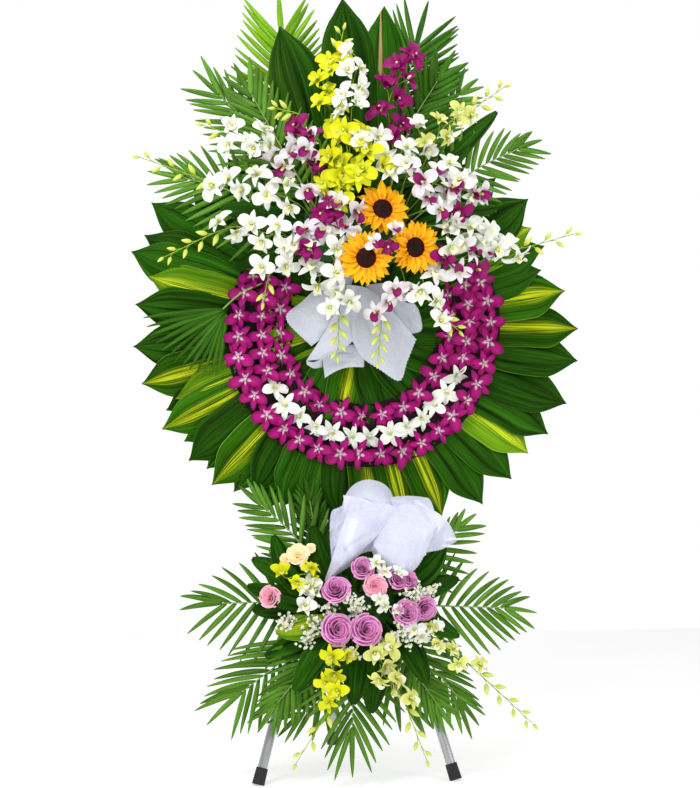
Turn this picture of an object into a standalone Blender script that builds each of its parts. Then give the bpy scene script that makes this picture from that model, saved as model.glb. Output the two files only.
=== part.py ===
"""A two-tier funeral arrangement on a folding tripod stand.

A round board covered in pleated leaves and pinned orchids hangs on the stand's mast, with a block of
floral foam above its middle that holds palm fronds, orchid sprays and sunflowers. A second block in
front of the legs holds more fronds, roses, orchids and a paper bow.

Units are metres. X is to the viewer's right, -Y is the front, Z is up, and Z 0 is the floor.
"""

import math

import bmesh
import bpy
from mathutils import Matrix, Vector

GAP = 0.0003  # clearance between pieces that touch

# Stand
TUBE_R = 0.011
TUBE_WALL = 0.0012
FRONT_FOOT = Vector((0.2255, -0.18, 0.0))
FRONT_LEG_TOP = Vector((0.018, -0.008, 0.73))
REAR_FOOT = Vector((0.0, 0.303, 0.0))
PIN = Vector((0.0, 0.052, 0.765))  # hinge of the rear leg
PIN_R = 0.003
PIN_CLEARANCE = 0.00008
PIN_HEAD = 0.003
REAR_LEG_STUB = 0.026  # how far the rear leg goes on above its pin, to meet its stop
HUB_R = 0.023
HUB_Z = (0.700, 0.800)
SOCKET_R = 0.0145
SOCKET_DEPTH = 0.040
EAR_GAP = 0.0135  # half the space between the two ears
EAR_WALL = 0.004
STOP_Z = (0.780, 0.798)  # web between the ears that the rear leg's end stops on
CAP_R = 0.0145
CAP_LENGTH = 0.038
CAP_SOLE = 0.008
CAP_LIFT = 0.0015  # sole's centre above the floor, so that the sole is worn flat on one side
MAST_Z = (0.762, 1.300)

# Wreath board, facing -Y
BOARD_CENTRE = Vector((0.0, 0.0, 1.035))
BOARD_R = 0.33
BOARD_BACK = -0.058
BOARD_FRONT = -0.070
BLOCKS = {"mast_block_lower": 0.86, "mast_block_upper": 1.22}
BLOCK_SIZE = (0.060, 0.034)

# Leaves on the board
SHEET = 0.002
COLLAR_BACK_Y = -0.0715
COLLAR_FRONT_Y = -0.0745
LEAF_COUNT = 36
TIP_R = 0.504
SHOULDER_R = 0.448
BACK_TIP_R = 0.478
COLLAR_LEAN = 0.03  # how far the tips at the top lean back

# Garland of pinned orchids, as degrees round the board's centre
GARLAND_CENTRE = Vector((0.010, 0.0, 1.030))
GARLAND_FROM, GARLAND_TO = -222.0, 42.0
CRESCENT_FROM, CRESCENT_TO = -140.0, -27.0
GARLAND_BACK_Y, GARLAND_FRONT_Y = -0.0762, -0.098
ROW_EDGES = (0.185, 0.233, 0.278, 0.326)
ROW_GAP = 0.0008
SCALLOP = 0.012
FLORET_PITCH = 0.052

# Floral foam and its trays
FOAM_SIZE = (0.230, 0.081, 0.110)
TRAY_WALL = 0.002
TRAY_DEPTH = 0.020
UPPER_FOAM_Z = 1.235
UPPER_TRAY_BACK_Y = -0.0763
LOWER_Z = 0.39  # height of the lower foam's centre
CROSSBAR_SIZE = (0.280, 0.004, 0.025)
STEM_CLEARANCE = 0.0006

# Fronds
FROND_SHEET = 0.0015
RACHIS_W = 0.007
LEAFLETS = 9
LAST_LEAFLET = 0.87  # share of the midrib at the last pair; the rest is the leaflet at the tip
FROND_LEAN = 0.05

COLOURS = {
    "steel": ((0.62, 0.63, 0.65), 0.28, 1.0),
    "zinc": ((0.50, 0.51, 0.53), 0.45, 1.0),
    "rubber": ((0.02, 0.02, 0.022), 0.7, 0.0),
    "timber": ((0.55, 0.40, 0.24), 0.75, 0.0),
    "tray": ((0.03, 0.13, 0.05), 0.5, 0.0),
    "foam": ((0.05, 0.17, 0.07), 0.95, 0.0),
    "leaf": ((0.04, 0.19, 0.02), 0.4, 0.0),
    "striped_leaf": ((0.12, 0.30, 0.02), 0.4, 0.0),
    "frond": ((0.06, 0.24, 0.03), 0.45, 0.0),
    "purple_orchid": ((0.38, 0.01, 0.26), 0.5, 0.0),
    "white_orchid": ((0.85, 0.86, 0.74), 0.5, 0.0),
    "yellow_orchid": ((0.83, 0.72, 0.03), 0.5, 0.0),
    "sunflower": ((0.90, 0.42, 0.01), 0.55, 0.0),
    "rose": ((0.56, 0.17, 0.45), 0.5, 0.0),
    "paper": ((0.80, 0.81, 0.87), 0.8, 0.0),
}


# Scene, materials and meshes


def clear_scene():
    for obj in list(bpy.data.objects):
        bpy.data.objects.remove(obj)
    collection = bpy.data.collections.new("funeral_arrangement")
    bpy.context.scene.collection.children.link(collection)
    return collection


def finish_of(slot):
    found = bpy.data.materials.get(slot)
    if found:
        return found
    colour, roughness, metallic = COLOURS[slot]
    made = bpy.data.materials.new(slot)
    made.use_nodes = True
    shader = made.node_tree.nodes["Principled BSDF"]
    shader.inputs["Base Color"].default_value = (*colour, 1.0)
    shader.inputs["Roughness"].default_value = roughness
    shader.inputs["Metallic"].default_value = metallic
    made.diffuse_color = (*colour, 1.0)
    return made


def place(name, mesh, slot, matrix=None):
    """A named object with its material, at an optional place."""
    obj = bpy.data.objects.new(name, mesh)
    mesh.name = name
    mesh.materials.clear()
    mesh.materials.append(finish_of(slot))
    ARRANGEMENT.objects.link(obj)
    if matrix is not None:
        obj.matrix_world = matrix
    return obj


def helper(mesh, matrix=None):
    """An unnamed solid that a Boolean uses up."""
    obj = bpy.data.objects.new("helper", mesh)
    obj.hide_render = True
    obj.display_type = "WIRE"
    ARRANGEMENT.objects.link(obj)
    if matrix is not None:
        obj.matrix_world = matrix
    return obj


def evaluated_mesh(obj):
    """The object's mesh with its modifiers applied and its place baked in, with loose caps welded."""
    bpy.context.view_layer.update()
    graph = bpy.context.evaluated_depsgraph_get()
    mesh = bpy.data.meshes.new_from_object(obj.evaluated_get(graph))
    mesh.transform(obj.matrix_world)
    work = bmesh.new()
    work.from_mesh(mesh)
    bmesh.ops.remove_doubles(work, verts=work.verts, dist=1e-5)
    work.to_mesh(mesh)
    work.free()
    return mesh


def boolean(base, others, operation):
    """The mesh left when others are joined to base or cut from it. All of them are used up."""
    tools = bpy.data.collections.new("tools")
    for other in others:
        tools.objects.link(other)
    modifier = base.modifiers.new("boolean", "BOOLEAN")
    modifier.operation = operation
    modifier.operand_type = "COLLECTION"
    modifier.collection = tools
    mesh = evaluated_mesh(base)
    for used in [base, *others]:
        bpy.data.objects.remove(used)
    bpy.data.collections.remove(tools)
    return mesh


def union(first, *others):
    return boolean(first, list(others), "UNION")


def cut(base, cutters):
    return boolean(base, list(cutters), "DIFFERENCE")


def from_bmesh(work):
    mesh = bpy.data.meshes.new("mesh")
    work.to_mesh(mesh)
    work.free()
    return mesh


def box_mesh(low, high):
    low, high = Vector(low), Vector(high)
    work = bmesh.new()
    bmesh.ops.create_cube(work, size=1.0)
    bmesh.ops.scale(work, verts=work.verts, vec=high - low)
    bmesh.ops.translate(work, verts=work.verts, vec=(low + high) / 2)
    return from_bmesh(work)


def along(start, end):
    """The matrix that puts local Z along start to end, with its origin at start."""
    turn = (Vector(end) - Vector(start)).to_track_quat("Z", "Y")
    return Matrix.Translation(start) @ turn.to_matrix().to_4x4()


def rod_mesh(start, end, radius, end_radius=None, segments=16):
    """A solid cylinder or cone frustum between two points."""
    start, end = Vector(start), Vector(end)
    length = (end - start).length
    work = bmesh.new()
    bmesh.ops.create_cone(
        work,
        cap_ends=True,
        segments=segments,
        radius1=radius,
        radius2=radius if end_radius is None else end_radius,
        depth=length,
    )
    bmesh.ops.translate(work, verts=work.verts, vec=(0, 0, length / 2))
    bmesh.ops.transform(work, verts=work.verts, matrix=along(start, end))
    return from_bmesh(work)


def tube(name, start, end, slot, radius=TUBE_R, wall=TUBE_WALL, segments=16):
    """A hollow tube, open at both ends: a Solidify on an open cylinder."""
    length = (Vector(end) - Vector(start)).length
    work = bmesh.new()
    bmesh.ops.create_cone(
        work, cap_ends=False, segments=segments, radius1=radius, radius2=radius, depth=length
    )
    bmesh.ops.translate(work, verts=work.verts, vec=(0, 0, length / 2))
    obj = place(name, from_bmesh(work), slot, along(start, end))
    solidify = obj.modifiers.new("wall", "SOLIDIFY")
    solidify.thickness = wall
    solidify.offset = -1.0
    smooth(obj)
    return obj


def smooth(obj):
    obj.data.shade_smooth()
    obj.data.set_sharp_from_angle(angle=math.radians(40))


def curved_path(start, control, end, count):
    """Points of the quadratic curve from start to end that leaves towards control."""
    start, control, end = Vector(start), Vector(control), Vector(end)
    shares = [i / (count - 1) for i in range(count)]
    return [start * (1 - t) ** 2 + control * 2 * t * (1 - t) + end * t * t for t in shares]


def stem_object(points, radius, name="stem"):
    """A capped wire through the points, as a curve object."""
    curve = bpy.data.curves.new(name, "CURVE")
    curve.dimensions = "3D"
    curve.bevel_depth = radius
    curve.bevel_resolution = 0
    curve.use_fill_caps = True
    spline = curve.splines.new("POLY")
    spline.points.add(len(points) - 1)
    for point, co in zip(spline.points, points):
        point.co = (*co, 1.0)
    obj = bpy.data.objects.new(name, curve)
    ARRANGEMENT.objects.link(obj)
    return obj


def stem_mesh(points, radius):
    obj = stem_object(points, radius)
    mesh = evaluated_mesh(obj)
    bpy.data.objects.remove(obj)
    return mesh


def sheet_mesh(outlines, y, thickness):
    """A flat sheet facing -Y, from outlines in (x, z). Later outlines are holes."""
    curve = bpy.data.curves.new("outline", "CURVE")
    curve.dimensions = "2D"
    curve.fill_mode = "BOTH"
    curve.extrude = thickness / 2
    for outline in outlines:
        spline = curve.splines.new("POLY")
        spline.points.add(len(outline) - 1)
        for point, (x, z) in zip(spline.points, outline):
            point.co = (x, z, 0.0, 1.0)
        spline.use_cyclic_u = True
    obj = bpy.data.objects.new("outline", curve)
    ARRANGEMENT.objects.link(obj)
    obj.matrix_world = Matrix.Translation((0, y, 0)) @ Matrix.Rotation(math.pi / 2, 4, "X")
    mesh = evaluated_mesh(obj)
    bpy.data.objects.remove(obj)
    return mesh


def lean(mesh, shift_at):
    """Moves each vertex along Y by shift_at(x, z)."""
    for vertex in mesh.vertices:
        vertex.co.y += shift_at(vertex.co.x, vertex.co.z)
    return mesh


def polar(radius, degrees, centre=BOARD_CENTRE):
    angle = math.radians(degrees)
    return centre.x + radius * math.cos(angle), centre.z + radius * math.sin(angle)


def smoothstep(low, high, value):
    t = min(1.0, max(0.0, (value - low) / (high - low)))
    return t * t * (3 - 2 * t)


# Stand


def front_leg_line(side):
    """(foot, top) of a front leg's axis, side -1 left and 1 right."""
    flip = Vector((side, 1, 1))
    return FRONT_FOOT * flip, FRONT_LEG_TOP * flip


def foot_cap(name, foot, up):
    """A rubber tip on the end of a tube: a cup whose sole is flat where it meets the floor."""
    axis = (up - foot).normalized()
    sole = foot + axis * (CAP_LIFT / axis.z)
    mouth = sole + axis * CAP_LENGTH
    seat = sole + axis * (CAP_SOLE - GAP)
    beyond = mouth + axis * 0.01
    body = helper(rod_mesh(sole, mouth, CAP_R, CAP_R - 0.001, segments=20))
    bore = helper(rod_mesh(seat, beyond, TUBE_R + GAP, segments=16))
    floor = helper(box_mesh(foot - Vector((0.05, 0.05, 0.05)), foot + Vector((0.05, 0.05, 0))))
    obj = place(name, cut(body, [bore, floor]), "rubber")
    smooth(obj)
    return sole + axis * CAP_SOLE


def make_legs():
    for side, word in ((-1, "left"), (1, "right")):
        foot, top = front_leg_line(side)
        tube_end = foot_cap(f"foot_cap_{word}", foot, top)
        tube(f"front_leg_{word}", tube_end, top, "steel")
    tube_end = foot_cap("foot_cap_rear", REAR_FOOT, PIN)
    axis = (PIN - REAR_FOOT).normalized()
    top = PIN + axis * REAR_LEG_STUB
    wall = tube("rear_leg", tube_end, top, "steel")
    mesh = evaluated_mesh(wall)
    bpy.data.objects.remove(wall)
    across = Vector((0.03, 0, 0))
    hole = helper(rod_mesh(PIN - across, PIN + across, PIN_R + PIN_CLEARANCE, segments=16))
    drilled = cut(helper(mesh), [hole])
    turned = Matrix.Translation(-PIN)
    drilled.transform(turned)
    smooth(place("rear_leg", drilled, "steel", Matrix.Translation(PIN)))


def make_hub():
    """The cast hub: a post with two sockets for the front legs, two ears for the rear one, and a bore."""
    post = helper(rod_mesh((0, 0, HUB_Z[0]), (0, 0, HUB_Z[1]), HUB_R, segments=20))
    joined, bores = [], []
    for side in (-1, 1):
        foot, top = front_leg_line(side)
        down = (foot - top).normalized()
        joined.append(helper(rod_mesh(top - down * 0.004, top + down * SOCKET_DEPTH, SOCKET_R, segments=16)))
        bores.append(helper(rod_mesh(top - down * GAP, top + down * 0.08, TUBE_R + GAP, segments=16)))
        inner, outer = side * EAR_GAP, side * (EAR_GAP + EAR_WALL)
        low = (min(inner, outer), 0.010, PIN.z - 0.014)
        high = (max(inner, outer), PIN.y + 0.013, PIN.z + 0.014)
        joined.append(helper(box_mesh(low, high)))
    axis = (PIN - REAR_FOOT).normalized()
    stop_y = PIN.y + axis.y * REAR_LEG_STUB - axis.z * TUBE_R - GAP
    reach = EAR_GAP + EAR_WALL / 2
    joined.append(helper(box_mesh((-reach, 0.012, STOP_Z[0]), (reach, stop_y, STOP_Z[1]))))
    for side in (-1, 1):
        low = (min(side * EAR_GAP, side * (EAR_GAP + EAR_WALL)), 0.008, PIN.z)
        high = (max(side * EAR_GAP, side * (EAR_GAP + EAR_WALL)), stop_y + 0.003, STOP_Z[1])
        joined.append(helper(box_mesh(low, high)))
    bores.append(helper(rod_mesh((0, 0, MAST_Z[0] - GAP), (0, 0, 0.9), TUBE_R + GAP, segments=16)))
    across = Vector((0.03, 0, 0))
    bores.append(helper(rod_mesh(PIN - across, PIN + across, PIN_R + PIN_CLEARANCE, segments=16)))
    body = helper(union(post, *joined))
    smooth(place("hub", cut(body, bores), "zinc"))


def make_hinge_pin():
    """The pin that the rear leg turns on, with a head outside each ear."""
    face = Vector((EAR_GAP + EAR_WALL + GAP, 0, 0))
    head = Vector((PIN_HEAD, 0, 0))
    shank = helper(rod_mesh(PIN - face - head, PIN + face + head, PIN_R, segments=16))
    heads = [
        helper(rod_mesh(PIN + face * side, PIN + (face + head) * side, 0.0055, segments=12))
        for side in (-1, 1)
    ]
    smooth(place("hinge_pin", union(shank, *heads), "zinc"))


def make_mast():
    tube("mast", (0, 0, MAST_Z[0]), (0, 0, MAST_Z[1]), "steel")
    for name, z in BLOCKS.items():
        half_x, half_z = BLOCK_SIZE[0] / 2, BLOCK_SIZE[1] / 2
        low = (-half_x, BOARD_BACK + GAP, z - half_z)
        high = (half_x, TUBE_R + 0.005, z + half_z)
        block = helper(box_mesh(low, high))
        bore = helper(rod_mesh((0, 0, z - 0.05), (0, 0, z + 0.05), TUBE_R + GAP, segments=16))
        smooth(place(name, cut(block, [bore]), "timber"))


def make_board():
    start = (BOARD_CENTRE.x, BOARD_BACK, BOARD_CENTRE.z)
    end = (BOARD_CENTRE.x, BOARD_FRONT, BOARD_CENTRE.z)
    smooth(place("wreath_board", rod_mesh(start, end, BOARD_R, segments=48), "timber"))


# Foam blocks and trays, in a frame whose origin is behind the middle of the foam

UPPER_FRAME = Matrix.Translation((0, UPPER_TRAY_BACK_Y, UPPER_FOAM_Z))
LEG_SLOPE = (FRONT_LEG_TOP.y - FRONT_FOOT.y) / FRONT_LEG_TOP.z
LEG_TILT = math.atan(LEG_SLOPE)
LOWER_ORIGIN = Vector((0, FRONT_LEG_TOP.y - LEG_SLOPE * (FRONT_LEG_TOP.z - LOWER_Z), LOWER_Z))
LOWER_PLANE = Matrix.Translation(LOWER_ORIGIN) @ Matrix.Rotation(-LEG_TILT, 4, "X")
CROSSBAR_BACK = -TUBE_R - GAP
LOWER_TRAY_BACK = CROSSBAR_BACK - CROSSBAR_SIZE[1] - GAP
LOWER_FRAME = LOWER_PLANE @ Matrix.Translation((0, LOWER_TRAY_BACK, 0))


def make_tray(name, frame):
    """A shallow open box, facing -Y, that the foam is pressed into."""
    width, _, height = FOAM_SIZE
    work = bmesh.new()
    bmesh.ops.create_cube(work, size=1.0)
    grow = 2 * (TRAY_WALL + GAP)
    bmesh.ops.scale(work, verts=work.verts, vec=(width + grow, TRAY_DEPTH, height + grow))
    bmesh.ops.translate(work, verts=work.verts, vec=(0, -TRAY_DEPTH / 2, 0))
    front = [face for face in work.faces if face.normal.y < -0.5]
    bmesh.ops.delete(work, geom=front, context="FACES_ONLY")
    obj = place(name, from_bmesh(work), "tray", frame)
    solidify = obj.modifiers.new("wall", "SOLIDIFY")
    solidify.thickness = TRAY_WALL
    solidify.offset = -1.0
    return obj


def make_foam(name, frame, cutters):
    width, depth, height = FOAM_SIZE
    back = -TRAY_WALL - GAP
    mesh = box_mesh((-width / 2, back - depth, -height / 2), (width / 2, back, height / 2))
    place(name, cut(helper(mesh, frame), cutters), "foam")


def make_crossbar():
    half_x, half_z = CROSSBAR_SIZE[0] / 2, CROSSBAR_SIZE[2] / 2
    low = (-half_x, CROSSBAR_BACK - CROSSBAR_SIZE[1], -half_z)
    high = (half_x, CROSSBAR_BACK, half_z)
    place("crossbar", box_mesh(low, high), "zinc", LOWER_PLANE)


# Leaves on the board


def tip_reach(degrees, full):
    """Leaf length round the board: shorter at the foot, where the lower flowers are, and longest at the
    upper left."""
    from_foot = abs((degrees + 90 + 180) % 360 - 180)
    from_upper_left = abs((degrees - 153 + 180) % 360 - 180)
    shorter = 0.072 * (1 - smoothstep(8, 38, from_foot))
    longer = 0.024 * (1 - smoothstep(4, 16, from_upper_left))
    return full - shorter + longer


def collar_lean(x, z):
    """Leaves beyond the board's edge lean back, most at the top and not at all at the foot."""
    away = math.hypot(x - BOARD_CENTRE.x, z - BOARD_CENTRE.z)
    if away <= BOARD_R:
        return 0.0
    rise = (z - BOARD_CENTRE.z) / away
    return COLLAR_LEAN * (away - BOARD_R) / (TIP_R - BOARD_R) * (1 + rise) / 2


def collar(name, y, tips_from, full, slot):
    """Overlapping pointed leaves as one sheet: flat on the board, leaning back beyond it."""
    step = 360 / LEAF_COUNT
    angles, reaches = [], []
    for i in range(LEAF_COUNT):
        degrees = tips_from + i * step
        angles += [degrees, degrees + step / 2]
        reaches.append(tip_reach(degrees, full) + 0.006 * math.sin(2.4 * i))
        reaches.append(tip_reach(degrees + step / 2, full) - (TIP_R - SHOULDER_R))
    work = bmesh.new()
    rings = []
    for radii in ([BOARD_R] * len(angles), reaches):
        points = [polar(radius, degrees) for radius, degrees in zip(radii, angles)]
        rings.append([work.verts.new((x, y + collar_lean(x, z), z)) for x, z in points])
    for inner, outer in zip(rings, rings[1:]):
        for i in range(len(angles)):
            j = (i + 1) % len(angles)
            work.faces.new((inner[i], outer[i], outer[j], inner[j]))
    work.faces.new(rings[0])
    bmesh.ops.triangulate(work, faces=work.faces)
    obj = place(name, from_bmesh(work), slot)
    solidify = obj.modifiers.new("sheet", "SOLIDIFY")
    solidify.thickness = SHEET
    solidify.offset = 0.0


# Garland


def on_garland(radius, degrees):
    return polar(radius, degrees, GARLAND_CENTRE)


def scallops(radius, bump, start, end):
    """Points along an arc that goes in and out once for each pinned orchid."""
    count = max(2, round(math.radians(abs(end - start)) * radius / FLORET_PITCH) * 2)
    step = (end - start) / count
    return [on_garland(radius + (bump if i % 2 else 0.0), start + i * step) for i in range(count + 1)]


def make_garland():
    inner, middle, outer, edge = ROW_EDGES
    depth = GARLAND_BACK_Y - GARLAND_FRONT_Y
    y = (GARLAND_BACK_Y + GARLAND_FRONT_Y) / 2
    rim = scallops(edge, SCALLOP, GARLAND_FROM, GARLAND_TO)
    inside = (
        scallops(middle + ROW_GAP, 0, GARLAND_TO, CRESCENT_TO + 0.4)
        + scallops(outer + ROW_GAP, 0, CRESCENT_TO + 0.4, CRESCENT_FROM - 0.4)
        + scallops(middle + ROW_GAP, 0, CRESCENT_FROM - 0.4, GARLAND_FROM)
    )
    place("purple_orchids_outer", sheet_mesh([rim + inside], y, depth), "purple_orchid")
    crescent = scallops(outer, 0, CRESCENT_FROM, CRESCENT_TO) + scallops(
        middle + ROW_GAP, 0, CRESCENT_TO, CRESCENT_FROM
    )
    place("white_orchid_crescent", sheet_mesh([crescent], y - 0.002, depth - 0.002), "white_orchid")
    row = scallops(middle, 0, GARLAND_FROM, GARLAND_TO) + scallops(
        inner, -SCALLOP, GARLAND_TO, GARLAND_FROM
    )
    place("purple_orchids_inner", sheet_mesh([row], y, depth), "purple_orchid")


# Palm fronds and broad leaves


def frond_outline(base, control, tip, spread, bare):
    """Outline of a frond in (x, z): a curved midrib with lance-shaped leaflets on both sides.

    spread is the longest leaflet, and bare the share of the midrib below the first leaflet.
    """
    path = curved_path((*base, 0), (*control, 0), (*tip, 0), 41)

    def at(share):
        place_on = share * 40
        i = min(39, int(place_on))
        here = path[i].lerp(path[i + 1], place_on - i)
        ahead = (path[i + 1] - path[i]).normalized()
        return here, ahead, Vector((-ahead.y, ahead.x, 0))

    sides = {1: [], -1: []}
    for side, points in sides.items():
        for share in (0.0, bare * 0.4):
            here, ahead, left = at(share)
            points.append(here + left * side * RACHIS_W / 2)
        for i in range(LEAFLETS):
            t = i / (LEAFLETS - 1)
            share = bare + (LAST_LEAFLET - bare) * t**0.92
            width = 0.010 - 0.004 * t
            here, ahead, left = at(share)
            angle = math.radians(62 - 40 * t) * side
            way = Matrix.Rotation(angle, 3, "Z") @ ahead
            length = spread * (0.78 + 0.5 * t - 0.72 * t * t)
            half = left * side * RACHIS_W / 2 * (1 - 0.6 * t)
            under = Vector((-way.y, way.x, 0)) * side
            points.append(here + half - ahead * width)
            points.append(here + half + way * length * 0.45 + under * width)
            points.append(here + half + way * length)
            points.append(here + half + ahead * width)
        here, ahead, left = at(0.93)
        points.append(here + left * side * 0.006)
    outline = sides[-1] + [path[-1]] + sides[1][::-1]
    return [(p.x, p.y) for p in outline]


def frond_lean(x, z):
    """The upper fronds lean back once they have left the foam."""
    away = max(0.0, math.hypot(x, z - UPPER_FOAM_Z) - 0.11)
    return FROND_LEAN * (away / 0.4) ** 2


def slot_cutter(base, towards, y, width, thickness, frame=None):
    """A flat slot in the foam for a midrib or a leaf stalk."""
    start = Vector((base[0], y, base[1]))
    way = Vector((towards[0] - base[0], 0, towards[1] - base[1])).normalized()
    side = Vector((-way.z, 0, way.x))
    work = bmesh.new()
    bmesh.ops.create_cube(work, size=1.0)
    bmesh.ops.scale(work, verts=work.verts, vec=(width, thickness, 0.16))
    turn = Matrix((side, (0, 1, 0), way)).transposed().to_4x4()
    bmesh.ops.translate(work, verts=work.verts, vec=(0, 0, 0.08 - STEM_CLEARANCE))
    bmesh.ops.transform(work, verts=work.verts, matrix=Matrix.Translation(start) @ turn)
    bmesh.ops.recalc_face_normals(work, faces=work.faces)
    mesh = from_bmesh(work)
    if frame is not None:
        mesh.transform(frame)
    return helper(mesh)


# name: (base, control, tip, longest leaflet), as (x, z) round the upper foam
UPPER_FRONDS = {
    "upper_frond_top_left": ((-0.050, 1.262), (-0.085, 1.520), (-0.160, 1.795), 0.135),
    "upper_frond_left": ((-0.080, 1.268), (-0.190, 1.470), (-0.385, 1.615), 0.130),
    "upper_frond_far_left": ((-0.092, 1.245), (-0.280, 1.345), (-0.470, 1.395), 0.120),
    "upper_frond_top_right": ((0.045, 1.262), (0.090, 1.520), (0.215, 1.775), 0.135),
    "upper_frond_right": ((0.080, 1.268), (0.160, 1.450), (0.318, 1.612), 0.120),
    "upper_frond_far_right": ((0.092, 1.240), (0.280, 1.365), (0.458, 1.470), 0.120),
}
UPPER_FROND_Y = -0.104
FROND_STEP = 0.005

# name: (base, control, tip, longest leaflet), as (x, up) in the plane of the front legs
LOWER_FRONDS = {
    "lower_frond_left": ((-0.092, -0.005), (-0.240, 0.020), (-0.400, -0.025), 0.120),
    "lower_frond_lower_left": ((-0.085, -0.036), (-0.190, -0.110), (-0.320, -0.245), 0.125),
    "lower_frond_foot_left": ((-0.045, -0.036), (-0.090, -0.150), (-0.172, -0.285), 0.105),
    "lower_frond_foot_right": ((0.045, -0.036), (0.080, -0.150), (0.150, -0.275), 0.105),
    "lower_frond_lower_right": ((0.085, -0.036), (0.170, -0.110), (0.262, -0.275), 0.115),
    "lower_frond_right": ((0.092, -0.005), (0.240, 0.015), (0.412, -0.035), 0.120),
    "lower_frond_upper_left": ((-0.080, 0.036), (-0.150, 0.140), (-0.262, 0.250), 0.110),
    "lower_frond_upper_right": ((0.080, 0.036), (0.170, 0.120), (0.285, 0.200), 0.105),
    "lower_frond_foot": ((0.000, -0.036), (-0.005, -0.200), (-0.018, -0.404), 0.125),
}
LOWER_FROND_Y = -0.045

# name: (base, tip, width), as (x, z)
BROAD_LEAVES = {
    "broad_leaf_left": ((-0.064, 1.262), (-0.168, 1.722), 0.125),
    "broad_leaf_right": ((0.026, 1.262), (0.075, 1.775), 0.105),
    "broad_leaf_centre": ((-0.016, 1.262), (-0.023, 1.790), 0.120),
}
BROAD_LEAF_Y = -0.136


def make_fronds():
    """All fronds. Returns the slots that they need in the upper and in the lower foam."""
    upper_slots, lower_slots = [], []
    for i, (name, (base, control, tip, spread)) in enumerate(UPPER_FRONDS.items()):
        y = UPPER_FROND_Y - i * FROND_STEP
        outline = frond_outline(base, control, tip, spread, bare=0.30)
        place(name, lean(sheet_mesh([outline], y, FROND_SHEET), frond_lean), "frond")
        upper_slots.append(slot_cutter(base, control, y, RACHIS_W + 0.003, FROND_SHEET + 0.001))
    for i, (name, (base, control, tip, spread)) in enumerate(LOWER_FRONDS.items()):
        y = LOWER_FROND_Y - i * FROND_STEP
        outline = frond_outline(base, control, tip, spread, bare=0.26)
        place(name, sheet_mesh([outline], y, FROND_SHEET), "frond", LOWER_PLANE)
        slot = slot_cutter(base, control, y, RACHIS_W + 0.003, FROND_SHEET + 0.001, LOWER_PLANE)
        lower_slots.append(slot)
    return upper_slots, lower_slots


def make_broad_leaves():
    slots = []
    for i, (name, (base, tip, width)) in enumerate(BROAD_LEAVES.items()):
        y = BROAD_LEAF_Y - i * FROND_STEP
        start, end = Vector((*base, 0)), Vector((*tip, 0))
        ahead = end - start
        across = Vector((-ahead.y, ahead.x, 0)).normalized()
        shares = [0.0, 0.16, 0.34, 0.5, 0.64, 0.78, 0.90]
        halves = [0.05, 0.05, 0.30, 0.46, 0.50, 0.40, 0.20]
        left = [start + ahead * s - across * width * h for s, h in zip(shares, halves)]
        right = [start + ahead * s + across * width * h for s, h in zip(shares, halves)]
        outline = [(p.x, p.y) for p in left + [end] + right[::-1]]
        place(name, lean(sheet_mesh([outline], y, FROND_SHEET), frond_lean), "leaf")
        slots.append(slot_cutter(base, tip, y, width * 0.1 + 0.003, FROND_SHEET + 0.001))
    return slots


# Flowers


def star_mesh(centre, facing, radius, petals, depth, waist=0.5, crown=0.0):
    """A flower's outline as a low pyramid, or a frustum with a crown, whose rim goes in and out."""
    work = bmesh.new()
    bmesh.ops.create_cone(
        work, cap_ends=True, segments=petals * 2, radius1=radius, radius2=radius * crown, depth=depth
    )
    for vertex in work.verts:
        angle = math.atan2(vertex.co.y, vertex.co.x)
        if round(angle / (math.pi / petals)) % 2:
            vertex.co.x *= waist
            vertex.co.y *= waist
    centre = Vector(centre)
    bmesh.ops.transform(work, verts=work.verts, matrix=along(centre, centre + Vector(facing)))
    return from_bmesh(work)


def bud_mesh(centre, facing, length, width):
    work = bmesh.new()
    bmesh.ops.create_icosphere(work, subdivisions=1, radius=0.5)
    bmesh.ops.scale(work, verts=work.verts, vec=(width, width, length))
    centre = Vector(centre)
    bmesh.ops.transform(work, verts=work.verts, matrix=along(centre, centre + Vector(facing)))
    return from_bmesh(work)


WHITE, YELLOW, PURPLE = "white_orchid", "yellow_orchid", "purple_orchid"
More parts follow.
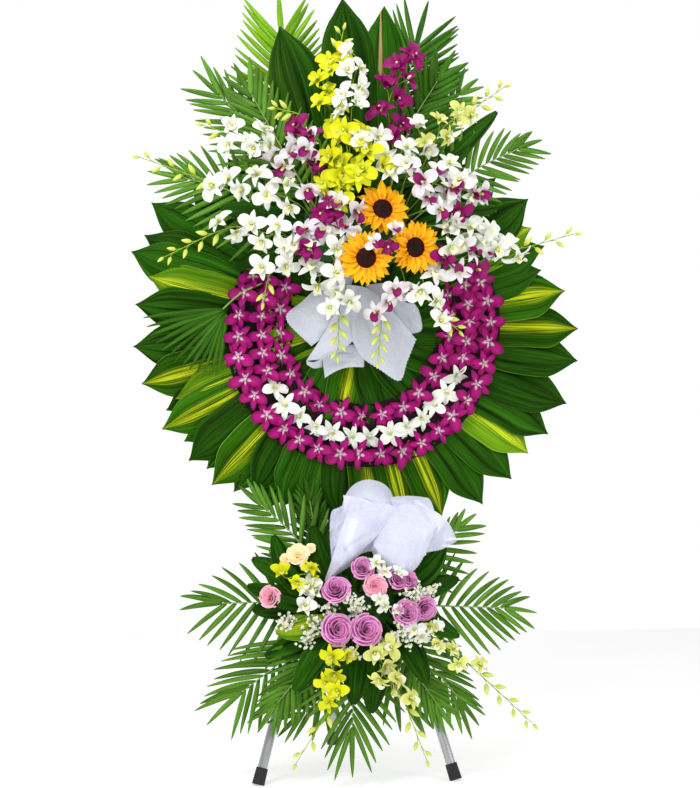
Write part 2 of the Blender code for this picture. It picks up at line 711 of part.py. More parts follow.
# name: (base, control, tip, florets, buds, floret radius, colour)
UPPER_SPRAYS = {
    "yellow_orchid_spray": (
        (-0.012, -0.148, 1.255), (-0.020, -0.195, 1.44), (-0.031, -0.160, 1.700), 6, 3, 0.028, YELLOW
    ),
    "white_orchid_spray_top": (
        (0.020, -0.150, 1.258), (0.040, -0.270, 1.44), (-0.008, -0.215, 1.615), 5, 0, 0.032, WHITE
    ),
    "purple_orchid_spray": (
        (0.050, -0.148, 1.255), (0.080, -0.190, 1.44), (0.116, -0.165, 1.648), 5, 2, 0.032, PURPLE
    ),
    "white_orchid_spray_upper_left": (
        (-0.060, -0.148, 1.255), (-0.130, -0.240, 1.40), (-0.305, -0.180, 1.474), 6, 2, 0.032, WHITE
    ),
    "white_orchid_spray_left": (
        (-0.090, -0.140, 1.235), (-0.240, -0.270, 1.31), (-0.488, -0.180, 1.402), 6, 3, 0.032, WHITE
    ),
    "white_orchid_spray_lower_left": (
        (-0.090, -0.140, 1.205), (-0.230, -0.290, 1.21), (-0.436, -0.220, 1.166), 6, 3, 0.032, WHITE
    ),
    "white_orchid_spray_upper_right": (
        (0.085, -0.148, 1.255), (0.170, -0.270, 1.42), (0.343, -0.190, 1.598), 6, 3, 0.032, WHITE
    ),
    "white_orchid_spray_right": (
        (0.090, -0.140, 1.225), (0.240, -0.290, 1.25), (0.494, -0.200, 1.241), 7, 3, 0.032, WHITE
    ),
    "purple_orchid_spray_left": (
        (-0.035, -0.150, 1.258), (-0.070, -0.290, 1.345), (-0.187, -0.250, 1.378), 5, 0, 0.032, PURPLE
    ),
    "white_orchid_spray_centre": (
        (0.075, -0.150, 1.240), (0.140, -0.300, 1.33), (0.232, -0.260, 1.362), 5, 0, 0.032, WHITE
    ),
}
LOWER_SPRAYS = {
    "yellow_orchid_spray_low_left": (
        (-0.040, -0.185, 0.375), (-0.038, -0.327, 0.331), (-0.147, -0.300, 0.072), 4, 3, 0.028, YELLOW
    ),
    "yellow_orchid_spray_low_centre": (
        (0.030, -0.185, 0.375), (0.060, -0.330, 0.34), (0.138, -0.300, 0.072), 5, 3, 0.028, YELLOW
    ),
    "white_orchid_spray_low_right": (
        (0.085, -0.180, 0.385), (0.170, -0.300, 0.40), (0.383, -0.230, 0.140), 5, 4, 0.029, WHITE
    ),
}
SPRAY_STEM_R = 0.0024
SPRAY_POINTS = 10


def spray(name, base, control, tip, florets, buds, radius, slot):
    """An orchid stem with open florets and, towards its tip, buds. Returns its hole in the foam."""
    path = curved_path(base, control, tip, SPRAY_POINTS)
    last = SPRAY_POINTS - 1
    stem = helper(stem_mesh(path, SPRAY_STEM_R))
    grown = []
    count = florets + buds
    for i in range(count):
        place_on = (0.40 + 0.58 * i / (count - 1)) * last
        k = min(last - 1, int(place_on))
        here = path[k].lerp(path[k + 1], place_on - k)
        ahead = (path[k + 1] - path[k]).normalized()
        side = ahead.cross(Vector((0, -1, 0))).normalized() * (1 if i % 2 else -1)
        if i < florets:
            centre = here + side * radius * 0.33 + Vector((0, -0.003, 0))
            facing = Vector((centre.x * 0.5, -1.0, (centre.z - base[2]) * 0.3))
            grown.append(helper(star_mesh(centre, facing, radius, 5, 0.012)))
        else:
            way = (ahead + side * 0.5).normalized()
            grown.append(helper(bud_mesh(here + way * 0.007, way, 0.022, 0.010)))
    hole = helper(stem_mesh(path[:6], SPRAY_STEM_R + STEM_CLEARANCE))
    place(name, union(stem, *grown), slot)
    return hole


SUNFLOWERS = {
    "sunflower_upper": ((0.043, -0.272, 1.286), (0.10, -1.0, 0.25), (0.000, -0.150, 1.245)),
    "sunflower_left": ((0.004, -0.296, 1.177), (-0.20, -1.0, -0.10), (0.000, -0.150, 1.215)),
    "sunflower_right": ((0.114, -0.280, 1.202), (0.30, -1.0, 0.00), (0.055, -0.150, 1.215)),
}
SUNFLOWER_R = 0.058
SUNFLOWER_EYE_R = 0.026


def sunflower(name, centre, facing, base):
    centre, facing = Vector(centre), Vector(facing).normalized()
    rays = helper(star_mesh(centre, facing, SUNFLOWER_R, 14, 0.010, waist=0.74, crown=0.62))
    rim = SUNFLOWER_EYE_R
    eye = helper(rod_mesh(centre, centre + facing * 0.013, rim, rim - 0.005, segments=16))
    calyx = helper(rod_mesh(centre - facing * 0.022, centre, 0.010, 0.022, segments=12))
    stalk = [Vector(base), centre - facing * 0.06, centre - facing * 0.018]
    path = curved_path(stalk[0], stalk[1], stalk[2], 6)
    stem = helper(stem_mesh(path, 0.004))
    hole = helper(stem_mesh(path[:4], 0.004 + STEM_CLEARANCE))
    place(name, union(rays, eye, calyx, stem), "sunflower")
    return hole


# name: (list of heads as (centre, radius), where their stems meet in the foam)
ROSES = {
    "rose_bunch_left": (
        [
            ((-0.057, -0.285, 0.360), 0.035),
            ((0.006, -0.290, 0.360), 0.034),
            ((-0.059, -0.270, 0.448), 0.031),
        ],
        (-0.030, -0.175, 0.400),
    ),
    "rose_bunch_right": (
        [
            ((0.099, -0.275, 0.395), 0.031),
            ((0.143, -0.268, 0.400), 0.029),
            ((0.003, -0.255, 0.493), 0.026),
            ((0.034, -0.262, 0.452), 0.026),
        ],
        (0.055, -0.175, 0.405),
    ),
}


def rose_head(centre, radius):
    """A rose seen from outside: a turned cup that narrows at its mouth."""
    facing = Vector((centre[0] * 1.2, -1.0, (centre[2] - LOWER_Z) * 2.0)).normalized()
    profile = [(0.0, 0.30), (0.55, 0.34), (0.95, 0.10), (1.0, -0.30), (0.70, -0.80), (0.0, -1.0)]
    work = bmesh.new()
    verts = [work.verts.new((r * radius, 0, h * radius)) for r, h in profile]
    for a, b in zip(verts, verts[1:]):
        work.edges.new((a, b))
    mesh = from_bmesh(work)
    obj = helper(mesh, along(Vector(centre), Vector(centre) + facing))
    screw = obj.modifiers.new("turn", "SCREW")
    screw.steps = screw.render_steps = 10
    screw.use_merge_vertices = True
    screw.merge_threshold = 0.0001
    made = evaluated_mesh(obj)
    bpy.data.objects.remove(obj)
    return helper(made), Vector(centre) - facing * radius * 0.9


def roses(name, heads, base):
    solids, stems, holes = [], [], []
    for centre, radius in heads:
        head, neck = rose_head(centre, radius)
        start = Vector(base)
        path = curved_path(start, (start + neck) / 2, neck + (neck - start).normalized() * 0.008, 5)
        solids.append(head)
        stems.append(helper(stem_mesh(path, 0.003)))
        holes.append(helper(stem_mesh(path[:4], 0.003 + STEM_CLEARANCE)))
    place(name, union(solids[0], *solids[1:], *stems), "rose")
    return holes


# Paper

PAPER_SHEET = 0.0015
PICK_R = 0.0012
UPPER_PICKS = [((x, -0.166, 1.196), (x, -0.118, 1.204)) for x in (-0.045, 0.055)]
LOWER_PICKS = [
    (LOWER_PLANE @ Vector((x, -0.0905, 0.079)), LOWER_PLANE @ Vector((x * 0.9, -0.0915, 0.012)))
    for x in (0.045, 0.092)
]


def paper(name, columns, rows, point_at, picks):
    """A stiff crimped sheet on wire picks. Returns the picks' holes in the foam.

    The sheet is a grid that point_at(u, v) places, given thickness by Solidify.
    """
    work = bmesh.new()
    bmesh.ops.create_grid(work, x_segments=columns, y_segments=rows, size=0.5)
    for vertex in work.verts:
        vertex.co = point_at(vertex.co.x + 0.5, vertex.co.y + 0.5)
    bmesh.ops.recalc_face_normals(work, faces=work.faces)
    sheet = helper(from_bmesh(work))
    solidify = sheet.modifiers.new("sheet", "SOLIDIFY")
    solidify.thickness = PAPER_SHEET
    solidify.offset = 0.0
    mesh = evaluated_mesh(sheet)
    bpy.data.objects.remove(sheet)
    wires = [helper(rod_mesh(head, point, PICK_R, segments=6)) for head, point in picks]
    place(name, union(helper(mesh), *wires), "paper")
    holes = []
    for head, point in picks:
        beyond = Vector(point) + (Vector(point) - Vector(head)).normalized() * STEM_CLEARANCE
        holes.append(helper(rod_mesh(head, beyond, PICK_R + STEM_CLEARANCE, segments=6)))
    return holes


def upper_paper_point(u, v):
    """The collar of paper under the sunflowers: a fan that hangs from the foam over the inner leaves."""
    angle = math.radians(-176 + 172 * u)
    reach = 0.150 + 0.030 * math.sin(math.pi * u) + 0.013 * math.cos(6 * math.pi * u)
    radius = 0.030 + v * (reach - 0.030)
    x = 0.005 + radius * math.cos(angle)
    z = 1.203 + radius * 1.12 * math.sin(angle)
    below = smoothstep(1.180, 1.060, z)
    ruffle = 0.009 * math.sin(5 * math.pi * u) * below
    return Vector((x, -0.163 + 0.034 * below + ruffle, z))


def lower_bow_point(u, v):
    """The loop of paper above the roses: a hood that swells out and folds back."""
    across = 0.150 * (u - 0.5) * 2 * (0.45 + 0.55 * math.sin(math.pi * (0.12 + 0.6 * v)))
    up = 0.475 + 0.185 * v + 0.022 * math.sin(3 * math.pi * u) * v
    swell = math.sin(math.pi * v) * (0.065 + 0.012 * math.cos(4 * math.pi * u))
    return Vector((0.068 + across + 0.02 * v, -0.158 - swell, up))


# Assembly

ARRANGEMENT = clear_scene()


def main():
    make_legs()
    make_hub()
    make_hinge_pin()
    make_mast()
    make_board()
    make_crossbar()
    make_tray("upper_tray", UPPER_FRAME)
    make_tray("lower_tray", LOWER_FRAME)
    collar("leaf_collar_back", COLLAR_BACK_Y, 5.0, BACK_TIP_R, "leaf")
    collar("leaf_collar_front", COLLAR_FRONT_Y, 0.0, TIP_R, "striped_leaf")
    make_garland()
    upper_cutters, lower_cutters = make_fronds()
    upper_cutters += make_broad_leaves()
    for name, facts in UPPER_SPRAYS.items():
        upper_cutters.append(spray(name, *facts))
    for name, facts in LOWER_SPRAYS.items():
        lower_cutters.append(spray(name, *facts))
    for name, facts in SUNFLOWERS.items():
        upper_cutters.append(sunflower(name, *facts))
    for name, facts in ROSES.items():
        lower_cutters += roses(name, *facts)
    upper_cutters += paper("upper_paper", 16, 4, upper_paper_point, UPPER_PICKS)
    lower_cutters += paper("lower_bow", 14, 6, lower_bow_point, LOWER_PICKS)
    make_foam("upper_foam", UPPER_FRAME, upper_cutters)
    make_foam("lower_foam", LOWER_FRAME, lower_cutters)


main()
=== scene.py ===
"""Dresses a standing funeral arrangement: its orchids, leaves, palm fronds, wraps and folding stand.

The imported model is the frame, in metres with +Z up and the front towards -Y. Each class below is one
sub-assembly. It holds its sizes, builds its own pieces and gives them their finishes. main() builds
the sub-assemblies in order. Sizes are in metres, but for the rows of the tables, such as a Spray or a
Frond, which are in millimetres.
"""

from __future__ import annotations

import logging
import math
from collections.abc import Callable, Iterable, Sequence
from dataclasses import dataclass, field, replace
from enum import Enum
from functools import cache, partial
from typing import Protocol

import bpy
import numpy as np
from bpy.types import Material, Node, NodeSocket, NodeTree, Object
from mathutils import Matrix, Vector
from numpy.random import Generator, default_rng

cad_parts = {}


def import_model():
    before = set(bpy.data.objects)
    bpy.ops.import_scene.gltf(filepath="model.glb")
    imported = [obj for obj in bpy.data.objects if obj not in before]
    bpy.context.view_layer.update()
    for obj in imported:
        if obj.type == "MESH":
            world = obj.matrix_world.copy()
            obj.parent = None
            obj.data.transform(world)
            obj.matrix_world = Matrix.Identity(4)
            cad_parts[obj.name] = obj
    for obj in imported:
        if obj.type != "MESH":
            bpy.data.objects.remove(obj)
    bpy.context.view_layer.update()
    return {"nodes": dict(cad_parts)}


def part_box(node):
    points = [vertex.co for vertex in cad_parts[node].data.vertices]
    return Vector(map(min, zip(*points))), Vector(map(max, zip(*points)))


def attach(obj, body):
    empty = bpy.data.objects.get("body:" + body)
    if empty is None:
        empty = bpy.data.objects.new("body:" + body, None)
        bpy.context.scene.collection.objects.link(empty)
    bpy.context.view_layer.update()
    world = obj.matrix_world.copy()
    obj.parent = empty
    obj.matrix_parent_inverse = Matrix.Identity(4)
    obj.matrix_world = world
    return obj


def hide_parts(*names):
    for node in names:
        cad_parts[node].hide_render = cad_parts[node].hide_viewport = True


Array = np.ndarray
Point = tuple[float, float, float]
Flat = tuple[float, float]
Inputs = dict[str | int, object] | tuple[object, ...]

BODY = "arrangement"
MARK = "growth"  # each point's place across and along its blade, and its blade's own number

LEAF_THICKNESS = 0.0004  # in metres, for every blade thicker than a petal

RIGHT = np.array((1.0, 0.0, 0.0))
FRONT = np.array((0.0, -1.0, 0.0))
UP = np.array((0.0, 0.0, 1.0))
TOP = np.array((0.0, 1.0, 0.0))  # a flower's own top, before it is turned, when its face looks along UP

report = logging.getLogger("arrangement")


class Slot(Enum):
    """The record's material slots, listed by some tables but given to no piece; the stand's solids keep
    theirs.
    """

    TIMBER = "timber"
    LEAF = "leaf"
    STRIPED_LEAF = "striped_leaf"
    FROND = "frond"
    PURPLE_ORCHID = "purple_orchid"
    WHITE_ORCHID = "white_orchid"
    YELLOW_ORCHID = "yellow_orchid"
    SUNFLOWER = "sunflower"
    ROSE = "rose"
    PAPER = "paper"


# ---------------------------------------------------------------- vectors and curves


def metres(sizes: float | Sequence[float] | Sequence[Point] | Sequence[Flat]) -> Array:
    """Turns sizes or places from the millimetres of the tables' rows into metres."""
    return np.asarray(sizes, float) / 1000


def unit(vectors: Array) -> Array:
    """Scales each vector to length 1."""
    return vectors / np.maximum(np.linalg.norm(vectors, axis=-1, keepdims=True), 1e-12)


def flow(knots: Sequence[Point] | Array, count: int) -> Array:
    """Draws a smooth curve through given points.

    Args:
        knots: Two or more points that the curve goes through.
        count: How many points to return, evenly spaced along it.

    Returns:
        The points, as count rows of x, y and z.
    """
    knots = np.asarray(knots, float)
    ends = np.vstack([2 * knots[0] - knots[1], knots, 2 * knots[-1] - knots[-2]])
    step = np.linspace(0, 1, 16)[:, None]
    spans = []
    for before, start, end, after in zip(ends, ends[1:], ends[2:], ends[3:]):
        bend = 2 * before - 5 * start + 4 * end - after
        twist = 3 * start - before - 3 * end + after
        spans.append(0.5 * (2 * start + (end - before) * step + bend * step**2 + twist * step**3))
    fine = np.vstack(spans)
    run = np.concatenate([[0], np.cumsum(np.linalg.norm(np.diff(fine, axis=0), axis=1))])
    at = np.linspace(0, run[-1], count)
    return np.stack([np.interp(at, run, fine[:, axis]) for axis in range(3)], axis=1)


def spoke(turn: float, rise: Array = UP) -> Array:
    """Points out from a middle: to the right, turned by an angle towards rise."""
    return RIGHT * math.cos(turn) + rise * math.sin(turn)


def steps(rows: int, columns: int) -> tuple[Array, Array]:
    """Spaces a blade's rows evenly along it, from 0 to 1, and its columns across it, from -1 to 1."""
    return np.linspace(0, 1, rows), np.linspace(-1, 1, columns)


def towards(front: Array, up: Array) -> Array:
    """Makes the turn that takes a shape's +Z to front and its +Y as near to up as it can be.

    Args:
        front: Where the shape's face looks.
        up: Where its top points.

    Returns:
        A 3 by 3 matrix.
    """
    front = unit(np.asarray(front, float))
    side = unit(np.cross(up, front))
    return np.column_stack([side, np.cross(front, side), front])


def swell(share: Array, base: float, point: float) -> Array:
    """Gives a blade's half width along it, 1 at the widest, from how sharp its base and its tip are."""
    width = (share + 0.04) ** base * (1.015 - share) ** point
    return width / width.max()


# ---------------------------------------------------------------- surfaces


@dataclass(frozen=True)
class Shape:
    """A surface before it is a mesh.

    Attributes:
        points: One row for each point.
        marks: Across (-1 to 1), along (0 to 1) and the blade's own number, for each point.
        faces: Four point numbers for each face.
        kinds: Which of the piece's finishes each face takes.
    """

    points: Array
    marks: Array
    faces: Array
    kinds: Array

    def moved(self, turn: Array, place: Array, size: float = 1.0, number: float = 0.0) -> Shape:
        """Turns, sizes and places a copy.

        Args:
            turn: A 3 by 3 turn.
            place: Where the shape's origin goes.
            size: The scale.
            number: The copy's own number, which its finish varies by.

        Returns:
            The copy.
        """
        marks = self.marks.copy()
        marks[:, 2] = (marks[:, 2] + number) % 1.0
        return replace(self, points=self.points @ turn.T * size + place, marks=marks)


def surface(
    grid: Array, kind: int = 0, number: float = 0.0, along: Array | None = None, ring: bool = False
) -> Shape:
    """Makes a surface of a grid of points.

    Args:
        grid: Rows along the blade by columns across it.
        kind: Which of the piece's finishes it takes.
        number: The blade's own number.
        along: Each row's place along the blade, where the rows aren't even.
        ring: Whether the last column joins the first.

    Returns:
        The surface.
    """
    rows, columns = grid.shape[:2]
    index = np.arange(rows * columns).reshape(rows, columns)
    if ring:
        index = np.hstack([index, index[:, :1]])
    corners = (index[:-1, :-1], index[1:, :-1], index[1:, 1:], index[:-1, 1:])
    faces = np.stack(corners, axis=-1).reshape(-1, 4)
    lengthwise = np.linspace(0, 1, rows) if along is None else along
    marks = np.empty((rows, columns, 3))
    marks[..., 0] = np.linspace(-1, 1, columns)
    marks[..., 1] = lengthwise[:, None]
    marks[..., 2] = number
    return Shape(grid.reshape(-1, 3), marks.reshape(-1, 3), faces, np.full(len(faces), kind))


def gather(shapes: Iterable[Shape]) -> Shape:
    """Joins several surfaces in one shape.

    Args:
        shapes: The surfaces.

    Returns:
        The shape.
    """
    shapes = list(shapes)
    starts = np.cumsum([0] + [len(shape.points) for shape in shapes])
    return Shape(
        np.vstack([shape.points for shape in shapes]),
        np.vstack([shape.marks for shape in shapes]),
        np.vstack([shape.faces + start for shape, start in zip(shapes, starts)]),
        np.concatenate([shape.kinds for shape in shapes]),
    )


def blade(spine: Array, face: Array, half: Array, lift: Array, across: Array) -> Array:
    """Sweeps a leaf, petal or leaflet along its middle line.

    Args:
        spine: The points of the middle line.
        face: Where the blade's upper side looks, once or for each point of the spine.
        half: The half width at each point of the spine.
        lift: The height of each point above the spine, rows by columns.
        across: The columns' places, from -1 to 1.

    Returns:
        A grid of points.
    """
    run = unit(np.gradient(spine, axis=0))
    side = unit(np.cross(run, face))
    out = np.cross(side, run)
    wide = half[:, None, None] * across[None, :, None]
    return spine[:, None] + side[:, None] * wide + out[:, None] * lift[..., None]


def tube(path: Array, radius: float | Array, sides: int, kind: int = 0, every: int = 1) -> Shape:
    """Sweeps a round section along a path.

    Args:
        path: The points of its middle line.
        radius: Its radius, once or for each point.
        sides: How many sides the section has.
        kind: Which of the piece's finishes it takes.
        every: How many points of the path there are to a row of the surface.

    Returns:
        The surface.
    """
    run = unit(np.gradient(path, axis=0))
    guide = UP if abs(run[len(run) // 2][2]) < 0.8 else RIGHT
    side = unit(np.cross(run, guide))
    other = np.cross(side, run)
    turn = np.linspace(0, math.tau, sides, endpoint=False)[None, :, None]
    ring = side[:, None] * np.cos(turn) + other[:, None] * np.sin(turn)
    grid = path[:, None] + ring * np.broadcast_to(radius, len(path))[:, None, None]
    return surface(grid[::every], kind, ring=True)


# ---------------------------------------------------------------- finishes


def linear(code: str) -> tuple[float, float, float, float]:
    """Turns an sRGB hex colour into linear red, green, blue and alpha."""
    shares = [int(code[i : i + 2], 16) / 255 for i in (1, 3, 5)]
    return (*(c / 12.92 if c <= 0.04045 else ((c + 0.055) / 1.055) ** 2.4 for c in shares), 1.0)


def add_node(
    tree: NodeTree,
    kind: str,
    inputs: Inputs = (),
    stops: Sequence[tuple[float, str]] = (),
    **settings: object,
) -> Node:
    """Adds one shader node.

    Args:
        tree: The material's node tree.
        kind: The node's type, without ShaderNode in front.
        inputs: What feeds each input, as link takes it.
        stops: A colour ramp's places and hex colours.
        settings: The node's own settings.

    Returns:
        The node.
    """
    node = tree.nodes.new("ShaderNode" + kind)
    for name, value in settings.items():
        setattr(node, name, value)
    for place, (position, code) in enumerate(stops):
        ramp = node.color_ramp.elements
        stop = ramp[place] if place < 2 else ramp.new(position)
        stop.position = position
        stop.color = linear(code)
    link(node, inputs)
    return node


MIX_A, MIX_B = 6, 7  # a colour mix's two colours
# Which output a node feeds others from: a mix's colour, an attribute's vector, an object's own coordinates.
OUTPUT = {"ShaderNodeMix": 2, "ShaderNodeAttribute": 1, "ShaderNodeTexCoord": 3}


def link(node: Node, inputs: Inputs) -> None:
    """Feeds a node's inputs.

    Args:
        node: The node.
        inputs: For each input in order, or by its name or number, a node, a socket, a hex colour or a value.
    """
    for name, value in inputs.items() if isinstance(inputs, dict) else enumerate(inputs):
        if isinstance(value, Node):
            value = value.outputs[OUTPUT.get(value.bl_idname, 0)]
        if isinstance(value, NodeSocket):
            node.id_data.links.new(value, node.inputs[name])
        else:
            node.inputs[name].default_value = linear(value) if isinstance(value, str) else value


class Finish(Protocol):
    """What a piece is finished in."""

    def material(self) -> Material:
        """Makes the finish's material once."""


def new_material(name: str) -> tuple[Material, Callable[..., Node], Node]:
    """Starts a material.

    Args:
        name: The material's name.

    Returns:
        The material, what adds a node to it, and its shader.
    """
    material = bpy.data.materials.new(name)
    material.use_nodes = True
    return material, partial(add_node, material.node_tree), material.node_tree.nodes["Principled BSDF"]


@dataclass(frozen=True)
class PetalFinish:
    """Fresh petal: a thin watery skin over air cells, so it is matt, a little see-through and veined.

    Attributes:
        throat: Its colour at the base.
        body: Its colour over most of its length.
        rim: Its colour at the tip and edges.
        reach: How far along the throat's colour goes.
        rim_share: How strongly the rim's colour shows.
        veins: How many veins run across its width.
        glow: How much light goes into it and comes out again.
        through: How much light it gives off in its own colour: painted glow that lightens it where it lies in
            shade.
    """

    name: str
    throat: str
    body: str
    rim: str
    reach: float = 0.3
    rim_share: float = 0.6
    veins: float = 7.0
    glow: float = 0.15
    through: float = 0.0

    @cache
    def material(self) -> Material:
        """Makes the petal's material.

        Returns:
            The material.
        """
        material, add, shader = new_material(self.name)
        mark = add("Attribute", attribute_name=MARK)
        place = add("SeparateXYZ", (mark,))
        across, along, number = place.outputs
        # The throat's colour runs furthest along the middle, so it ends in a wedge.
        aside = add("Math", (across,), operation="ABSOLUTE")
        wedge = add("Math", (aside, 0.42, along), operation="MULTIPLY_ADD")
        fades = self.reach * 0.45
        stops = ((0.0, self.throat), (1.0, self.body), (self.reach, self.body), (fades, self.throat))
        shade = add("ValToRGB", (wedge,), stops)
        # The colour turns to the rim's towards the edge and tip, where the petal is one cell thick. The
        # garland's near-black magenta rims are painted shade there, and the mauve roses' pale rims painted
        # highlight.
        edge = add("Math", (aside, 2.5), operation="POWER")
        tip = add("Math", (along, 4.0), operation="POWER")
        both = add("Math", (edge, tip), operation="MAXIMUM")
        amount = add("Math", (both, self.rim_share), operation="MULTIPLY")
        rimmed = add("Mix", {0: amount, MIX_A: shade, MIX_B: self.rim}, data_type="RGBA")
        # Veins run from base to tip a millimetre or two apart, and show as faint ridges and darker lines.
        fan = add("Math", (across, self.veins * math.pi), operation="MULTIPLY")
        wave = add("Math", (fan,), operation="COSINE")
        mottle = add("TexNoise", {"Scale": 420.0, "Detail": 3.0})
        ridge = add("Math", (wave, mottle), operation="MULTIPLY")
        # No two florets opened on the same day: each one's tone differs by a few hundredths.
        tone = add("MapRange", {"Value": number, "To Min": 0.9, "To Max": 1.06})
        lined = add("Math", (ridge, 0.07, tone), operation="MULTIPLY_ADD")
        colour = add("HueSaturation", {"Color": rimmed, "Value": lined})
        bump = add("Bump", {"Height": ridge, "Strength": 0.35, "Distance": 0.0006})
        link(shader, {"Base Color": colour, "Normal": bump})
        link(shader, {"Roughness": 0.5, "Specular IOR Level": 0.2})
        link(shader, {"Subsurface Weight": self.glow, "Subsurface Scale": 0.004})
        # Painted glow: the petal gives off light in its own colour, to lighten the roses' shaded cups.
        link(shader, {"Emission Color": colour, "Emission Strength": self.through})
        return material


@dataclass(frozen=True)
class LeafFinish:
    """Living leaf: a waxed green skin, glossy in broad soft patches, with fine lengthwise veins.

    Attributes:
        deep: Its darkest green.
        fresh: Its lightest green.
        stripe: The colour of its variegated stripe, or the same green where it has none.
        stripe_at: Where the stripe runs, across the leaf.
        stripe_width: The stripe's half width.
        margin: The colour of the thin pale edge.
        roughness: How dull its wax is.
        pleats: How many pleat lines cross its width.
        sheen: How strongly its wax reflects.
    """

    name: str
    deep: str
    fresh: str
    stripe: str
    stripe_at: float = 0.35
    stripe_width: float = 0.0
    margin: str = "#7FA03A"
    roughness: float = 0.36
    pleats: float = 9.0
    sheen: float = 0.11

    @cache
    def material(self) -> Material:
        """Makes the leaf's material.

        Returns:
            The material.
        """
        material, add, shader = new_material(self.name)
        mark = add("Attribute", attribute_name=MARK)
        place = add("SeparateXYZ", (mark,))
        across, along, number = place.outputs
        # Streaks follow the veins: the pattern is pulled out lengthwise, several millimetres wide.
        turned = add("Math", (number, 37.0), operation="MULTIPLY")
        cross = add("Math", (across, self.pleats * 0.5, turned), operation="MULTIPLY_ADD")
        streaks = add("CombineXYZ", (cross, along, number))
        streak = add("TexNoise", {0: streaks, "Scale": 1.0, "Detail": 4.0, "Roughness": 0.6})
        # Each vein is its own thin line, a millimetre or less wide, that fades in and out along the blade.
        thin = add("VectorMath", (streaks, (6.0, 2.2, 5.0)), operation="MULTIPLY")
        vein = add("TexNoise", {"Vector": thin, "Scale": 1.0, "Detail": 2.0})
        fine_cross = add("Math", (across, self.pleats * math.tau), operation="MULTIPLY")
        line = add("Math", (fine_cross,), operation="COSINE")
        sharp = add("MapRange", {"Value": streak, "From Min": 0.34, "From Max": 0.76})
        green = add("Mix", {0: sharp, MIX_A: self.deep, MIX_B: self.fresh}, data_type="RGBA")
        # The stripe's edges are ragged, because it is made of whole veins that start and stop.
        ragged = add("Math", (streak, 0.45, across), operation="MULTIPLY_ADD")
        centred = add("Math", (ragged, self.stripe_at + 0.22), operation="SUBTRACT")
        distance = add("Math", (centred,), operation="ABSOLUTE")
        edge, core = self.stripe_width, self.stripe_width * 0.15
        band = add("MapRange", {"Value": distance, "From Min": edge, "From Max": core})
        # Only some of the stripe's veins have lost their green.
        most = 1.0 if self.stripe_width else 0.0
        pale = add("MapRange", {"Value": vein, "From Min": 0.40, "From Max": 0.58, "To Max": most})
        shown = add("Math", (band, pale), operation="MULTIPLY")
        striped = add("Mix", {0: shown, MIX_A: green, MIX_B: self.stripe}, data_type="RGBA")
        # The blade turns paler at its edge, in a line about a millimetre wide.
        far = add("Math", (across,), operation="ABSOLUTE")
        rim = add("MapRange", {"Value": far, "From Min": 0.95, "From Max": 1.0, "To Max": 0.75})
        edged = add("Mix", {0: rim, MIX_A: striped, MIX_B: self.margin}, data_type="RGBA")
        tone = add("MapRange", {"Value": number, "To Min": 0.72, "To Max": 1.26})
        spread = {"From Min": 0.3, "From Max": 0.7, "To Min": 0.7, "To Max": 1.3}
        veined = add("MapRange", {"Value": vein, **spread})
        toned = add("Math", (veined, tone), operation="MULTIPLY")
        value = add("Math", (line, 0.05, toned), operation="MULTIPLY_ADD")
        colour = add("HueSaturation", {"Color": edged, "Value": value})
        smooth, dull = self.roughness - 0.07, self.roughness + 0.12
        wax = add("MapRange", {"Value": streak, "To Min": smooth, "To Max": dull})
        bump = add("Bump", {"Height": line, "Strength": 0.3, "Distance": 0.0008})
        link(shader, {"Base Color": colour, "Normal": bump, "Roughness": wax})
        link(shader, {"Specular IOR Level": self.sheen, "Specular Tint": "#D8F080"})
        return material


@dataclass(frozen=True)
class GrownFinish:
    """Stem, bud, column or calyx: firm plant tissue with a soft sheen, mottled every few millimetres.

    Attributes:
        base: Its colour at the base.
        tip: Its colour at the tip.
        roughness: How dull it is.
        grain: How many mottles fit in a metre.
        relief: How deep its skin's relief is, in metres.
    """

    name: str
    base: str
    tip: str
    roughness: float = 0.45
    grain: float = 260.0
    relief: float = 0.0004

    @cache
    def material(self) -> Material:
        """Makes the tissue's material.

        Returns:
            The material.
        """
        material, add, shader = new_material(self.name)
        mark = add("Attribute", attribute_name=MARK)
        place = add("SeparateXYZ", (mark,))
        shade = add("ValToRGB", (place.outputs[1],), ((0.0, self.base), (1.0, self.tip)))
        mottle = add("TexNoise", {"Scale": self.grain, "Detail": 3.0})
        tone = add("MapRange", {"Value": mottle, "To Min": 0.8, "To Max": 1.2})
        colour = add("HueSaturation", {"Color": shade, "Value": tone})
        bump = add("Bump", {"Height": mottle, "Strength": 0.4, "Distance": self.relief})
        link(shader, {"Base Color": colour, "Normal": bump, "Roughness": self.roughness})
        link(shader, {"Subsurface Weight": 0.08, "Subsurface Scale": 0.003, "Specular IOR Level": 0.25})
        return material


